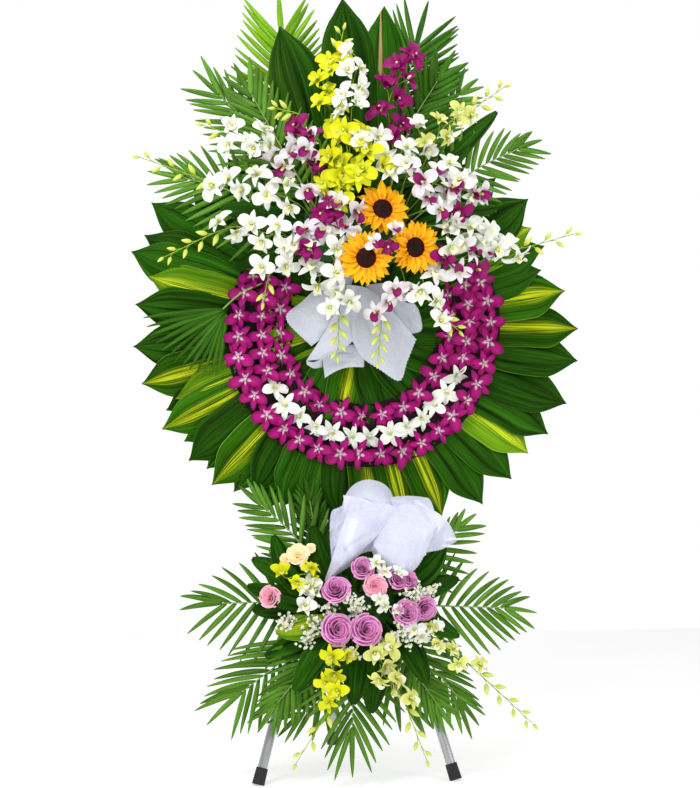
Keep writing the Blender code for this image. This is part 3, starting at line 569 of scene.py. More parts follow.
@dataclass(frozen=True)
class NonwovenFinish:
    """Spunbonded polypropylene wrap: matt, faintly see-through, with a bonded grid and clouds of fibre.

    Attributes:
        sheer: Its colour where the fibres are thin.
        dense: Its colour where they lie thick.
        cover: How much of what is behind it hides.
        bond: The spacing of the bond points, in metres. The real 1 mm is drawn at 2.5 mm to show.
    """

    name: str
    sheer: str
    dense: str
    cover: float
    bond: float = 0.0025

    @cache
    def material(self) -> Material:
        """Makes the wrap's material.

        Returns:
            The material.
        """
        material, add, shader = new_material(self.name)
        clouds = add("TexNoise", {"Scale": 38.0, "Detail": 6.0, "Roughness": 0.7})
        spread = add("MapRange", {"Value": clouds, "From Min": 0.3, "From Max": 0.7})
        mixed = add("Mix", {0: spread, MIX_A: self.sheer, MIX_B: self.dense}, data_type="RGBA")
        place = add("TexCoord")
        fibres = add("TexNoise", {0: place, "Scale": 900.0, "Detail": 2.0, "Distortion": 1.5})
        dots = add("TexVoronoi", {0: place, "Scale": 1 / self.bond, "Randomness": 0.2})
        height = add("Math", {0: dots.outputs["Distance"], 1: fibres}, operation="ADD")
        bump = add("Bump", {"Height": height, "Strength": 0.12, "Distance": 0.0003})
        link(shader, {"Base Color": mixed, "Normal": bump, "Roughness": 0.8})
        link(shader, {"Alpha": self.cover, "Sheen Weight": 0.15})
        return material


@dataclass(frozen=True)
class BrushedSteel:
    """Stainless tube, brushed lengthwise: fine bright lines along it and a soft stretched highlight."""

    name: str = "brushed_stainless_steel"
    colour: str = "#B2B3B6"
    lines: float = 1800.0  # brush lines in a metre round the tube, drawn at about 0.6 mm to show
    stretch: float = 0.012  # how much longer a line is than it is wide, as a share of the scale

    @cache
    def material(self) -> Material:
        """Makes the steel's material.

        Returns:
            The material.
        """
        material, add, shader = new_material(self.name)
        place = add("TexCoord")
        scale = (self.lines, self.lines, self.lines * self.stretch)
        drawn = add("Mapping", {0: place, "Scale": scale})
        brush = add("TexNoise", {"Vector": drawn, "Scale": 1.0, "Detail": 2.0})
        rough = add("MapRange", {"Value": brush, "To Min": 0.2, "To Max": 0.36})
        tone = add("MapRange", {"Value": brush, "To Min": 0.88, "To Max": 1.05})
        colour = add("HueSaturation", {"Color": self.colour, "Value": tone})
        bump = add("Bump", {"Height": brush, "Strength": 0.15, "Distance": 0.0002})
        link(shader, {"Base Color": colour, "Roughness": rough})
        link(shader, {"Normal": bump, "Metallic": 1.0})
        return material


@dataclass(frozen=True)
class MouldedFinish:
    """A made part in one material, whose colour and relief wander at the scale of its own grain.

    Attributes:
        dark: Its darker tone.
        light: Its lighter tone.
        metallic: 1 for plated steel and 0 for plastic, rubber, foam and wood.
        low: Its roughness where it is smoothest.
        high: Its roughness where it is dullest.
        scale: How many grains fit in a metre along x, y and z.
        relief: How deep the grain is, in metres.
        glow: How much light it gives off.
    """

    name: str
    dark: str
    light: str
    metallic: float
    low: float
    high: float
    scale: Point
    relief: float
    glow: float = 0.0

    @cache
    def material(self) -> Material:
        """Makes the part's material.

        Returns:
            The material.
        """
        material, add, shader = new_material(self.name)
        place = add("TexCoord")
        sized = add("Mapping", {0: place, "Scale": self.scale})
        grain = add("TexNoise", {"Vector": sized, "Scale": 1.0, "Detail": 5.0, "Roughness": 0.6})
        spread = add("MapRange", {"Value": grain, "From Min": 0.3, "From Max": 0.7})
        colour = add("Mix", {0: spread, MIX_A: self.dark, MIX_B: self.light}, data_type="RGBA")
        rough = add("MapRange", {"Value": grain, "To Min": self.low, "To Max": self.high})
        bump = add("Bump", {"Height": grain, "Strength": 0.5, "Distance": self.relief})
        link(shader, {"Base Color": colour, "Roughness": rough})
        link(shader, {"Normal": bump, "Metallic": self.metallic})
        link(shader, {"Emission Color": self.light, "Emission Strength": self.glow})
        return material


# Zinc plating shows its crystals as a faint cloudy spangle a few millimetres across.
ZINC = MouldedFinish("zinc_plated_steel", "#A9ADAF", "#C6C9CA", 1.0, 0.3, 0.5, (160, 160, 160), 0.00005)
# Moulded rubber is near black, and dull except where feet have rubbed it.
RUBBER = MouldedFinish("moulded_rubber", "#0C0C0C", "#1B1B1B", 0.0, 0.5, 0.75, (600, 600, 600), 0.0002)
# Sawn pine has a lengthwise grain about 2 mm wide, and it is furry from the saw.
PINE = MouldedFinish("sawn_pine", "#A97B4B", "#D5AD78", 0.0, 0.6, 0.85, (420, 420, 14), 0.0005)
# Plywood's face veneer has the same grain, wider and flatter, and it has taken up water.
PLYWOOD = MouldedFinish("poplar_plywood", "#8E6B45", "#B8905F", 0.0, 0.6, 0.85, (12, 260, 260), 0.0002)
# The flower trays are vacuum-formed polystyrene, dark green with a satin skin.
TRAY = MouldedFinish("formed_polystyrene", "#0F3A1B", "#174B25", 0.0, 0.3, 0.45, (900, 900, 900), 0.0001)
# Floral foam is a phenolic foam with open cells half a millimetre wide, drawn at 1.5 mm, and it is wet.
FOAM = MouldedFinish("wet_floral_foam", "#123A16", "#2C6A2C", 0.0, 0.75, 0.95, (700, 700, 700), 0.0008)
# The floor is a sheet of milky acrylic, lit from below, as plain and pale as the walls.
FLOOR = MouldedFinish("milky_acrylic_floor", "#DCDCDC", "#E2E2E2", 0.0, 0.9, 0.95, (3, 3, 3), 0.0, 0.72)

WHITE_PETAL = PetalFinish("white_orchid_petal", "#C6D460", "#F1F2E8", "#F8F8F4", 0.28, 0.5, glow=0.2)
CREAM_PETAL = PetalFinish("cream_orchid_petal", "#A8C020", "#DDE070", "#EDEFB4", 0.45, 0.6, glow=0.2)
YELLOW_PETAL = PetalFinish("yellow_orchid_petal", "#9DBA08", "#E2E40C", "#ECEC30", 0.35, 0.5, glow=0.15)
# The magenta tepals darken to a near-black rim: painted shade at their edges, that parts the florets.
MAGENTA_PETAL = PetalFinish("magenta_orchid_petal", "#F8E6F4", "#B4007C", "#6A003E", 0.42, 0.95, glow=0.05)
BICOLOUR_PETAL = PetalFinish("bicolour_orchid_petal", "#A4107C", "#F3ECEE", "#F8F6F4", 0.34, 0.5, glow=0.15)
DEEP_PETAL = PetalFinish("deep_magenta_petal", "#D074B8", "#970867", "#74044E", 0.25, 0.6, glow=0.06)
PINK_LIP = PetalFinish("pink_orchid_lip", "#F8F0F4", "#E9B4D8", "#860564", 0.5, 0.9, glow=0.06)
WHITE_LIP = PetalFinish("white_orchid_lip", "#C9D64A", "#F0F2C8", "#FFFFFF", 0.6, 0.4, glow=0.2)
YELLOW_LIP = PetalFinish("yellow_orchid_lip", "#A8C010", "#DCE028", "#EEF06A", 0.5, 0.4, glow=0.2)
ORCHID_COLUMN = GrownFinish("orchid_column", "#E2C7A8", "#F4EBC9", 0.4)
GREEN_COLUMN = GrownFinish("green_orchid_column", "#A9BE2A", "#E6E39A", 0.4)
ORCHID_STEM = GrownFinish("orchid_stem", "#6E8C22", "#A9BE3C", 0.45)
YELLOW_BUD = GrownFinish("orchid_bud", "#B7C94A", "#E6E878", 0.4)
# A near-black strip behind the garland's rows: painted shade for the dark gaps between its florets.
GARLAND_SHADE_STRIP = GrownFinish("garland_painted_shade", "#0C1606", "#30101F", 0.9, 260.0, 0.002)
MAGENTA_BUD = GrownFinish("magenta_orchid_bud", "#A3246E", "#B71A86", 0.4)

DARK_LEAF = LeafFinish("cordyline_leaf", "#051C02", "#2F6C12", "#C9D61B", margin="#4C8022")
STRIPED_LEAF = LeafFinish("striped_cordyline_leaf", "#0E3000", "#37740E", "#BCC81E", 0.02, 0.42)
LIME_LEAF = LeafFinish("lime_cordyline_leaf", "#3A6E08", "#7CA41C", "#C4D02C", 0.1, 0.5)
PALM = LeafFinish("palm_leaflet", "#2F6812", "#6A9C36", "#6A9C36", margin="#A4C27C", pleats=3.0, sheen=0.5)
DARK_PALM = LeafFinish(
    "dark_palm_leaflet", "#1C4A08", "#3F7A1C", "#3F7A1C", margin="#6E9E3A", pleats=3.0, sheen=0.3
)
BRIGHT_PALM = LeafFinish(
    "bright_palm_leaflet", "#4E8808", "#86B322", "#86B322", margin="#A6CA50", pleats=3.0, sheen=0.4
)
PALM_RIB = GrownFinish("palm_rib", "#A9BC7A", "#7FA646", 0.4)
LEAF_STALK = GrownFinish("leaf_stalk", "#4A7A1C", "#3E6E16", 0.4)

WHITE_WRAP = NonwovenFinish("white_nonwoven_wrap", "#D6DBF6", "#EAECFC", 0.78)
LAVENDER_WRAP = NonwovenFinish("lavender_nonwoven_wrap", "#C6CAD8", "#D8DCE8", 0.9)

RAY_FLORET = PetalFinish("sunflower_ray", "#F28204", "#FFB204", "#FFCE1C", 0.45, 0.7, 5.0, 0.1)
EYE_FLORET = GrownFinish("sunflower_eye", "#0B0D06", "#471006", 0.75, 900.0, 0.0006)
STRAW_LEAF = LeafFinish("dry_leaf", "#A88A4C", "#D8C08A", "#D8C08A", margin="#E6D4A4", pleats=3.0)
CALYX = GrownFinish("sunflower_bract", "#3F6E14", "#6C9A2E", 0.55)
# The mauve rose's dark throat is painted shade deep in its head, and its pale rim painted highlight.
# The roses' last number is painted glow, that lightens the shade inside their cupped heads.
MAUVE_ROSE = PetalFinish("mauve_rose_petal", "#821C68", "#DA68BA", "#F8C0EA", 0.75, 0.9, 5.0, 0.12, 0.04)
PINK_ROSE = PetalFinish("pink_rose_petal", "#E84880", "#F8A0BC", "#FFDEE8", 0.7, 0.8, 5.0, 0.15, 0.1)
PEACH_ROSE = PetalFinish("peach_rose_petal", "#FFB878", "#FFDCAE", "#FFEFD6", 0.7, 0.8, 5.0, 0.15, 0.3)
GYPSOPHILA = GrownFinish("gypsophila_bloom", "#DCE0B4", "#FBFAEE", 0.7)


class Bloom(Enum):
    """The kinds of orchid, each with the finishes of its tepals, lip, column, stem and buds."""

    WHITE = (WHITE_PETAL, WHITE_LIP, GREEN_COLUMN, ORCHID_STEM, YELLOW_BUD)
    CREAM = (CREAM_PETAL, WHITE_LIP, GREEN_COLUMN, ORCHID_STEM, YELLOW_BUD)
    BICOLOUR = (BICOLOUR_PETAL, DEEP_PETAL, GREEN_COLUMN, ORCHID_STEM, YELLOW_BUD)
    YELLOW = (YELLOW_PETAL, YELLOW_LIP, GREEN_COLUMN, ORCHID_STEM, YELLOW_BUD)
    MAGENTA = (DEEP_PETAL, DEEP_PETAL, ORCHID_COLUMN, ORCHID_STEM, MAGENTA_BUD)
    # The garland's fourth finish is not a stem's but the near-black strip of painted shade behind its rows.
    GARLAND = (MAGENTA_PETAL, PINK_LIP, ORCHID_COLUMN, GARLAND_SHADE_STRIP, MAGENTA_BUD)


def piece(
    name: str,
    shape: Shape,
    finishes: Sequence[Finish],
    nodes: Sequence[str] = (),
    thickness: float = 0.0,
) -> Object:
    """Makes an object of a shape, lets it ride on its body and names what it stands for.

    Args:
        name: The object's name.
        shape: Its surfaces.
        finishes: Its finishes, in the order of the shape's kinds.
        nodes: The solids that it stands for.
        thickness: The blade's thickness in metres, or 0 to leave a petal as one skin.

    Returns:
        The object.
    """
    name = f"{name}_dressed" if name in nodes else name
    mesh = bpy.data.meshes.new(name)
    mesh.from_pydata(shape.points.tolist(), [], shape.faces.tolist())
    mark = mesh.attributes.new(MARK, "FLOAT_VECTOR", "POINT")
    mark.data.foreach_set("vector", shape.marks.astype(np.float32).ravel())
    mesh.polygons.foreach_set("material_index", shape.kinds.astype(np.int32))
    for finish in finishes:
        mesh.materials.append(finish.material())
    mesh.shade_smooth()
    thing = bpy.data.objects.new(name, mesh)
    bpy.context.scene.collection.objects.link(thing)
    if thickness:
        skin = thing.modifiers.new("thickness", "SOLIDIFY")
        skin.thickness = thickness
        skin.offset = 0.0
    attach(thing, BODY)
    if nodes:
        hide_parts(*nodes)
    report.info("%s: %d faces, for %s", name, len(shape.faces), ", ".join(nodes) or "no solid")
    return thing


# ---------------------------------------------------------------- the studio


@dataclass
class Studio:
    """A plain white studio, with the camera level and a little to the left of straight ahead."""

    azimuth: float = -7.2
    distance: float = 4.5
    eye_height: float = 0.8776
    aside: float = 0.0053  # how far the lens is to the right of the arrangement's middle
    view_height: float = 1.852  # what the picture takes in at the arrangement
    floor_size: float = 5.0
    ceiling: float = 0.35  # how bright the ceiling is, next to the walls

    def build(self) -> None:
        """Makes the camera, the floor and the lights."""
        self.place_camera()
        self.lay_floor()
        self.hang_lights()
        bpy.context.scene.view_settings.view_transform = "Standard"

    def place_camera(self) -> None:
        """Places a camera with a long lens, level with the middle of the arrangement."""
        turn = math.radians(self.azimuth)
        back = np.array((math.sin(turn), -math.cos(turn), 0.0))
        side = np.array((math.cos(turn), math.sin(turn), 0.0))
        lens = bpy.data.cameras.new("camera")
        lens.sensor_fit = "VERTICAL"
        lens.sensor_height = 24.0
        lens.lens = lens.sensor_height * self.distance / self.view_height
        camera = bpy.data.objects.new("camera", lens)
        camera.location = back * self.distance + side * self.aside + UP * self.eye_height
        camera.rotation_euler = (math.pi / 2, 0.0, turn)
        bpy.context.scene.collection.objects.link(camera)
        bpy.context.scene.camera = camera

    def lay_floor(self) -> None:
        """Lays a pale floor that runs out of sight."""
        half = self.floor_size / 2
        mesh = bpy.data.meshes.new("floor")
        corners = [(-half, -half, 0), (half, -half, 0), (half, half, 0), (-half, half, 0)]
        mesh.from_pydata(corners, [], [(0, 1, 2, 3)])
        mesh.materials.append(FLOOR.material())
        floor = bpy.data.objects.new("floor", mesh)
        bpy.context.scene.collection.objects.link(floor)

    def hang_lights(self) -> None:
        """Hangs two big soft boxes in front and one overhead, in a room with white walls."""
        world = bpy.data.worlds.new("studio")
        world.use_nodes = True
        tree = world.node_tree
        add = partial(add_node, tree)
        # The walls are lit white all round, and fade to a darker ceiling, so the flowers shade each other.
        way = add("SeparateXYZ", {0: add("TexCoord").outputs["Generated"]})
        rise = add("Math", (way.outputs[2],), operation="ABSOLUTE")
        fade = {"From Min": 0.23, "From Max": 0.45, "To Min": 1.0, "To Max": self.ceiling}
        walls = add("MapRange", {"Value": rise, **fade})
        link(tree.nodes["Background"], {"Color": "#FFFFFF", "Strength": walls})
        bpy.context.scene.world = world
        self.soft_box("key", (-1.6, -2.5, 2.9), 0.9, 58.0)
        self.soft_box("fill", (2.4, -2.4, 2.0), 1.2, 17.0)
        self.soft_box("top", (0.2, -0.4, 3.4), 1.2, 24.0)

    def soft_box(self, name: str, place: Point, size: float, power: float) -> None:
        """Hangs a square soft box that looks at the middle of the arrangement.

        Args:
            name: The light's name.
            place: Where it hangs.
            size: The length of its side.
            power: Its power in watts.
        """
        box = bpy.data.lights.new(name, "AREA")
        box.size = size
        box.energy = power
        light = bpy.data.objects.new(name, box)
        turn = towards(np.array(place) - (0.0, 0.0, 0.95), UP)
        light.matrix_world = Matrix.Translation(place) @ Matrix(turn.tolist()).to_4x4()
        bpy.context.scene.collection.objects.link(light)


# ---------------------------------------------------------------- the stand


@dataclass
class Stand:
    """The folding easel, the mast, the board and the two foam trays, which keep their own solids."""

    finishes: dict[Finish, tuple[str, ...]] = field(
        default_factory=lambda: {
            BrushedSteel(): ("front_leg_left", "front_leg_right", "rear_leg", "mast"),
            ZINC: ("hub", "hinge_pin", "crossbar"),
            RUBBER: ("foot_cap_left", "foot_cap_right", "foot_cap_rear"),
            PINE: ("mast_block_lower", "mast_block_upper"),
            PLYWOOD: ("wreath_board",),
            TRAY: ("upper_tray", "lower_tray"),
            FOAM: ("upper_foam", "lower_foam"),
        }
    )

    def build(self, solids: dict[str, Object]) -> None:
        """Gives each solid of the stand its finish.

        Args:
            solids: The frame's solids by name.
        """
        for finish, names in self.finishes.items():
            for name in names:
                for slot in solids[name].material_slots:
                    slot.material = finish.material()
                report.info("%s: finished in %s", name, finish.name)


# ---------------------------------------------------------------- the leaf disc


class Tone(Enum):
    """The kinds of broad leaf, as places in a piece's list of finishes."""

    DARK = 0
    STRIPED = 1
    LIME = 2
    STRAW = 3


@dataclass(frozen=True)
class DiscLeaf:
    """One folded cordyline leaf of the disc: where its tip points and how far out it reaches."""

    degrees: float
    reach: float
    tone: Tone = Tone.DARK


@dataclass
class LeafDisc:
    """Two rings of pleated leaves on the board, each over its neighbour, and the leaves inside them."""

    centre: Point = (0.0, 0.0, 1.035)
    front_y: float = -0.0785
    back_y: float = -0.073
    inner_r: float = 0.16
    half_width: float = 0.05
    tip_length: float = 0.085  # how long its tip is, from the shoulders out
    widest: float = 0.55  # how far along it is widest
    foot_width: float = 0.62  # how wide its foot is, next to its widest
    roll: float = 0.008  # how far an edge stands over its neighbour
    keel: float = 0.01  # how far its middle fold stands up
    back_roll: float = 0.0015  # the same in the back ring
    back_keel: float = 0.4  # the back ring's keel, next to the front one's
    pleat: float = 0.0015  # how deep a pleat is
    pleats: float = 5.0
    lean: float = 0.03  # how far the topmost tips lean back
    lean_from: float = 0.33  # the board's radius, past which they lean
    lean_over: float = 0.174  # how far past it they have leaned by as much
    rows: int = 34
    columns: int = 25
    back_count: int = 36
    back_reach: float = 470  # in millimetres, as the front ones' are
    inner_centre: Point = (0.01, 0.0, 1.03)
    inner_y: float = -0.0858
    inner_length: float = 0.21
    inner_half_width: float = 0.048
    inner_step: int = 24  # the turn from one to the next, in degrees
    front: tuple[DiscLeaf, ...] = tuple(
        DiscLeaf(*leaf)
        for leaf in (
            (0, 540, Tone.STRIPED), (10, 515, Tone.STRIPED), (17, 470), (23, 497), (29, 487, Tone.LIME),
            (36, 518), (46, 490), (57, 480), (68, 470), (80, 460), (92, 460), (104, 460), (116, 470),
            (127, 480), (138, 500), (149, 540), (157, 520), (162, 534), (167, 480, Tone.LIME), (175, 500),
            (186, 505), (196, 502, Tone.STRIPED), (203, 440, Tone.LIME), (209, 498, Tone.STRIPED), (220, 488),
            (229, 489, Tone.STRIPED), (240, 452), (249, 450), (258, 455), (267, 452),
            (276, 455, Tone.STRIPED), (286, 470, Tone.STRIPED), (296, 490, Tone.STRIPED), (307, 517),
            (317, 519), (325, 512, Tone.LIME), (332, 529), (341, 541), (352, 544),
        )
    )

    def build(self) -> None:
        """Makes the back ring, the front ring and the leaves inside the garland."""
        finishes = (DARK_LEAF, STRIPED_LEAF, LIME_LEAF)
        back = [
            self.leaf(DiscLeaf(360 * (i + 0.5) / self.back_count, self.back_reach), self.back_y, i)
            for i in range(self.back_count)
        ]
        front = [self.leaf(leaf, self.front_y, i) for i, leaf in enumerate(self.front)]
        for name, leaves, slot, nodes in (
            ("disc_leaves_back", back, Slot.LEAF, ("leaf_collar_back",)),
            ("disc_leaves_front", front, Slot.STRIPED_LEAF, ("leaf_collar_front",)),
            ("inner_leaves", self.inner_leaves(), Slot.STRIPED_LEAF, ()),
        ):
            piece(name, gather(leaves), finishes, nodes, LEAF_THICKNESS)

    def leaned(self, grid: Array) -> Array:
        """Leans the tips back, the more so towards the top, as the solids do.

        Args:
            grid: A leaf's points, which it moves.

        Returns:
            The same points.
        """
        x, z = grid[..., 0] - self.centre[0], grid[..., 2] - self.centre[2]
        away = np.hypot(x, z)
        share = np.clip((away - self.lean_from) / self.lean_over, 0, None)
        grid[..., 1] += self.lean * share * (1 + z / np.maximum(away, 1e-6)) / 2
        return grid

    def leaf(self, leaf: DiscLeaf, y: float, index: int) -> Shape:
        """Makes one leaf of a ring.

        Args:
            leaf: Its tip's place and its tone.
            y: The depth of the ring.
            index: The leaf's place in the ring, which varies its shape and colour.

        Returns:
            The leaf.
        """
        wander = default_rng(100 + index + int(1e5 * -y))
        front = y == self.front_y
        share = np.linspace(0, 1, self.rows) ** 0.8
        across = np.linspace(-1, 1, self.columns)
        turn = math.radians(leaf.degrees)
        out = spoke(turn)
        side = np.array((-math.sin(turn), 0.0, math.cos(turn)))
        length = metres(leaf.reach) - self.inner_r
        spine = np.array(self.centre) + out * (self.inner_r + length * share)[:, None]
        bow = wander.uniform(-0.006, 0.006) * np.sin(math.pi * share) - 0.004 * share**6
        spine = spine + side * bow[:, None]
        spine[:, 1] = y
        width = self.half_width * wander.uniform(0.94, 1.08)
        tip = np.sin(math.pi / 2 * np.clip((1 - share) * length / self.tip_length, 0.004, 1)) ** 1.25
        grown = self.foot_width + (1 - self.foot_width) * np.minimum(share / self.widest, 1.0)
        ruffle = 1 + 0.03 * np.sin(share * 13 + wander.uniform(0, math.tau))
        half = width * tip * grown * ruffle
        fade = np.minimum(1.0, (1 - share) * 5)[:, None]
        phase, fold = wander.uniform(-0.4, 0.4), wander.uniform(0.4, 1.0)
        pleats = self.pleat * np.cos((across + phase) * self.pleats * math.pi) * fade
        roll = self.roll if front else self.back_roll
        keel = self.keel * fold * (1 - np.abs(across)) * (1.0 if front else self.back_keel)
        lift = pleats + (keel - roll * across) * (half / width * np.minimum(1, share * 2.5))[:, None]
        grid = self.leaned(blade(spine, FRONT, half, lift, -across))
        return surface(grid, leaf.tone.value, wander.uniform(0, 1), along=share)

    def inner_leaves(self) -> list[Shape]:
        """Makes the leaves inside the ring, which fan out from under the wrap.

        Returns:
            The leaves.
        """
        fans = []
        share, across = steps(18, 15)
        for i, degrees in enumerate(range(0, 360, self.inner_step)):
            wander = default_rng(300 + i)
            tone = Tone.LIME if 160 < degrees < 200 else Tone.STRIPED if 250 < degrees < 270 else Tone.DARK
            turn = math.radians(degrees + wander.uniform(-5, 5))
            spine = np.array(self.inner_centre) + spoke(turn) * (0.01 + self.inner_length * share)[:, None]
            spine[:, 1] = self.inner_y - 0.0006 * (i % 3)
            half = self.inner_half_width * np.minimum(0.35 + share * 1.2, 1.0)
            pleats = 0.0011 * np.cos(across * 3 * math.pi) - 0.002 * across
            grid = blade(spine, FRONT, half, np.broadcast_to(pleats, (len(share), len(across))), -across)
            fans.append(surface(grid, tone.value, wander.uniform(0, 1)))
        return fans


# ---------------------------------------------------------------- palm fronds and broad leaves


FOAM_Z = 1.235  # the height of the upper foam's middle
UPRIGHT = 0.11  # how far from there the tall leaves stand upright
LEAN = 0.05  # how far back they have leaned where they reach this much further
LEANED = 0.4


def lean_back(points: Array, depth: float) -> None:
    """Moves a tall leaf's points to its depth, and leans it back as it leaves the upper foam's middle."""
    away = np.maximum(0.0, np.hypot(points[..., 0], points[..., 2] - FOAM_Z) - UPRIGHT)
    points[..., 1] += depth + LEAN * (away / LEANED) ** 2


@dataclass(frozen=True)
class Side:
    """The leaflets on one side of a frond.

    Attributes:
        angles: How far the first and the last one stand off the midrib, in degrees.
        lengths: How long the first and the last one are.
    """

    angles: Flat
    lengths: Flat


@dataclass(frozen=True)
class Frond:
    """One palm frond: a midrib that starts in the foam, with a row of leaflets on each side.

    Attributes:
        route: The midrib's foot, middle and end, as x and z or as x and up.
        left: The leaflets on its left, as the midrib runs.
        right: The leaflets on its right.
        leaf: Its leaflets' finish.
        half_width: Half the width of its leaflets.
        sag: How far the leaflets' tips bend down.
        pitch: How far apart its leaflets are.
        solid: Whether a solid of the same name stands for it. The others close the gaps between those.
    """

    name: str
    route: tuple[Flat, Flat, Flat]
    left: Side
    right: Side
    leaf: LeafFinish = PALM
    half_width: float = 6
    sag: float = 8
    pitch: float = 19.5
    solid: bool = True


@dataclass
class PalmFronds:
    """The palm fronds behind the flowers, above and below, and the small one that lies over the disc."""

    rib_r: float = 0.0024
    bare: float = 0.22  # the share of a midrib below its first leaflet
    upper_y: float = -0.104
    lower_y: float = -0.045
    step: float = 0.005  # how far each stands in front of the one before
    infill_step: float = 0.007  # how far each lower one between them stands behind the one before
    points: int = 81  # to a midrib
    fan_root: Point = (-0.3, -0.104, 1.071)
    fan_leaflets: int = 13
    fan_turn: Flat = (184, 78)  # its first leaflet's turn and how far the rest open, in degrees
    fan_length: Flat = (0.165, 0.045)  # its first leaflet's length and how much shorter the last one is
    lowest: float = 0.003  # the leaflets that reach the floor bend along it
    slope: float = math.radians(13.26)  # the front legs' slope, which the lower fronds lie along
    lower_origin: Point = (0.0, -0.0881, 0.39)
    upper: tuple[Frond, ...] = (
        Frond("top_left", ((-50, 1262), (-146, 1480), (-160, 1700)), Side((84, 40), (168, 122)),
            Side((80, 36), (155, 112)), BRIGHT_PALM, 6.6, 0, 16.5),
        Frond("left", ((-80, 1268), (-228, 1478), (-305, 1563)), Side((76, 31), (155, 87)),
            Side((69, 20), (155, 97))),
        Frond("far_left", ((-92, 1245), (-275, 1337), (-386, 1370)), Side((76, 21), (149, 87)),
            Side((76, 24), (155, 83))),
        Frond("top_right", ((45, 1262), (111, 1540), (149, 1676)), Side((76, 28), (155, 125)),
            Side((80, 36), (155, 130)), DARK_PALM, 6.8, 4, 14.5),
        Frond("right", ((80, 1268), (164, 1480), (250, 1572)), Side((76, 34), (147, 70)),
            Side((76, 24), (144, 64))),
        Frond("far_right", ((92, 1240), (268, 1385), (389, 1449)), Side((69, 24), (155, 64)),
            Side((76, 29), (128, 76))),
        Frond("infill_right", ((55, 1262), (125, 1480), (195, 1600)), Side((62, 28), (130, 85)),
            Side((62, 28), (130, 85)), DARK_PALM, 7.8, 0, solid=False),
        Frond("infill_left", ((-70, 1262), (-170, 1440), (-235, 1560)), Side((66, 28), (130, 80)),
            Side((66, 28), (130, 80)), PALM, 7, 0, solid=False),
    )
    lower: tuple[Frond, ...] = (
        Frond("left", ((-92, -5), (-205, 4), (-303, 4)), Side((74, 31), (155, 97)),
            Side((76, 19), (144, 92)), sag=14),
        Frond("lower_left", ((-85, -36), (-150, -112), (-261, -196)), Side((66, 34), (128, 97)),
            Side((56, 21), (155, 101)), sag=12),
        Frond("foot_left", ((-45, -36), (-75, -200), (-128, -246)), Side((49, 24), (115, 69)),
            Side((76, 29), (128, 80))),
        Frond("foot_right", ((45, -36), (78, -180), (119, -228)), Side((63, 24), (109, 69)),
            Side((63, 24), (109, 69))),
        Frond("lower_right", ((85, -36), (171, -150), (226, -218)), Side((51, 21), (117, 69)),
            Side((76, 24), (91, 80)), sag=10),
        Frond("right", ((92, -5), (193, -12), (343, -18)), Side((76, 28), (145, 71)),
            Side((64, 29), (155, 71)), sag=10),
        Frond("upper_left", ((-80, 36), (-130, 140), (-212, 224)), Side((54, 31), (120, 69)),
            Side((48, 21), (138, 69))),
        Frond("upper_right", ((80, 36), (174, 105), (235, 161)), Side((45, 24), (92, 64)),
            Side((64, 34), (110, 69))),
        Frond("foot", ((0, -36), (-14, -180), (-18, -282)), Side((80, 22), (152, 98)),
            Side((80, 22), (155, 105))),
        Frond("infill_foot_left", ((-60, -36), (-125, -150), (-185, -225)), Side((60, 24), (110, 70)),
            Side((60, 24), (110, 70)), pitch=16.5, solid=False),
        Frond("infill_foot_right", ((60, -36), (125, -155), (175, -230)), Side((56, 24), (100, 65)),
            Side((56, 24), (100, 65)), pitch=16.5, solid=False),
        Frond("infill_upper_left", ((-50, 36), (-85, 150), (-100, 235)), Side((50, 22), (95, 60)),
            Side((50, 22), (95, 60)), DARK_PALM, pitch=14.5, solid=False),
    )

    def build(self) -> None:
        """Makes every frond."""
        for i, frond in enumerate(self.upper):
            shape = self.frond(frond, i)
            lean_back(shape.points, self.upper_y - i * self.step)
            self.finish(f"upper_frond_{frond.name}", frond, shape)
        cos, sin = math.cos(self.slope), math.sin(self.slope)
        last = sum(frond.solid for frond in self.lower) - 1
        for i, frond in enumerate(self.lower):
            shape = self.frond(frond, i + 20)
            points = shape.points
            points[:, 1] += self.lower_y - min(i, last) * self.step + max(0, i - last) * self.infill_step
            forward, high = points[:, 1] * cos + points[:, 2] * sin, points[:, 2] * cos - points[:, 1] * sin
            points[:, 1] = forward + self.lower_origin[1]
            points[:, 2] = np.maximum(high + self.lower_origin[2], self.lowest)
            self.finish(f"lower_frond_{frond.name}", frond, shape)
        self.side_fan()

    def finish(self, name: str, frond: Frond, shape: Shape) -> None:
        """Makes a frond's object, which stands for the solid of the same name if there is one."""
        piece(name, shape, (frond.leaf, PALM_RIB), (name,) if frond.solid else (), LEAF_THICKNESS)

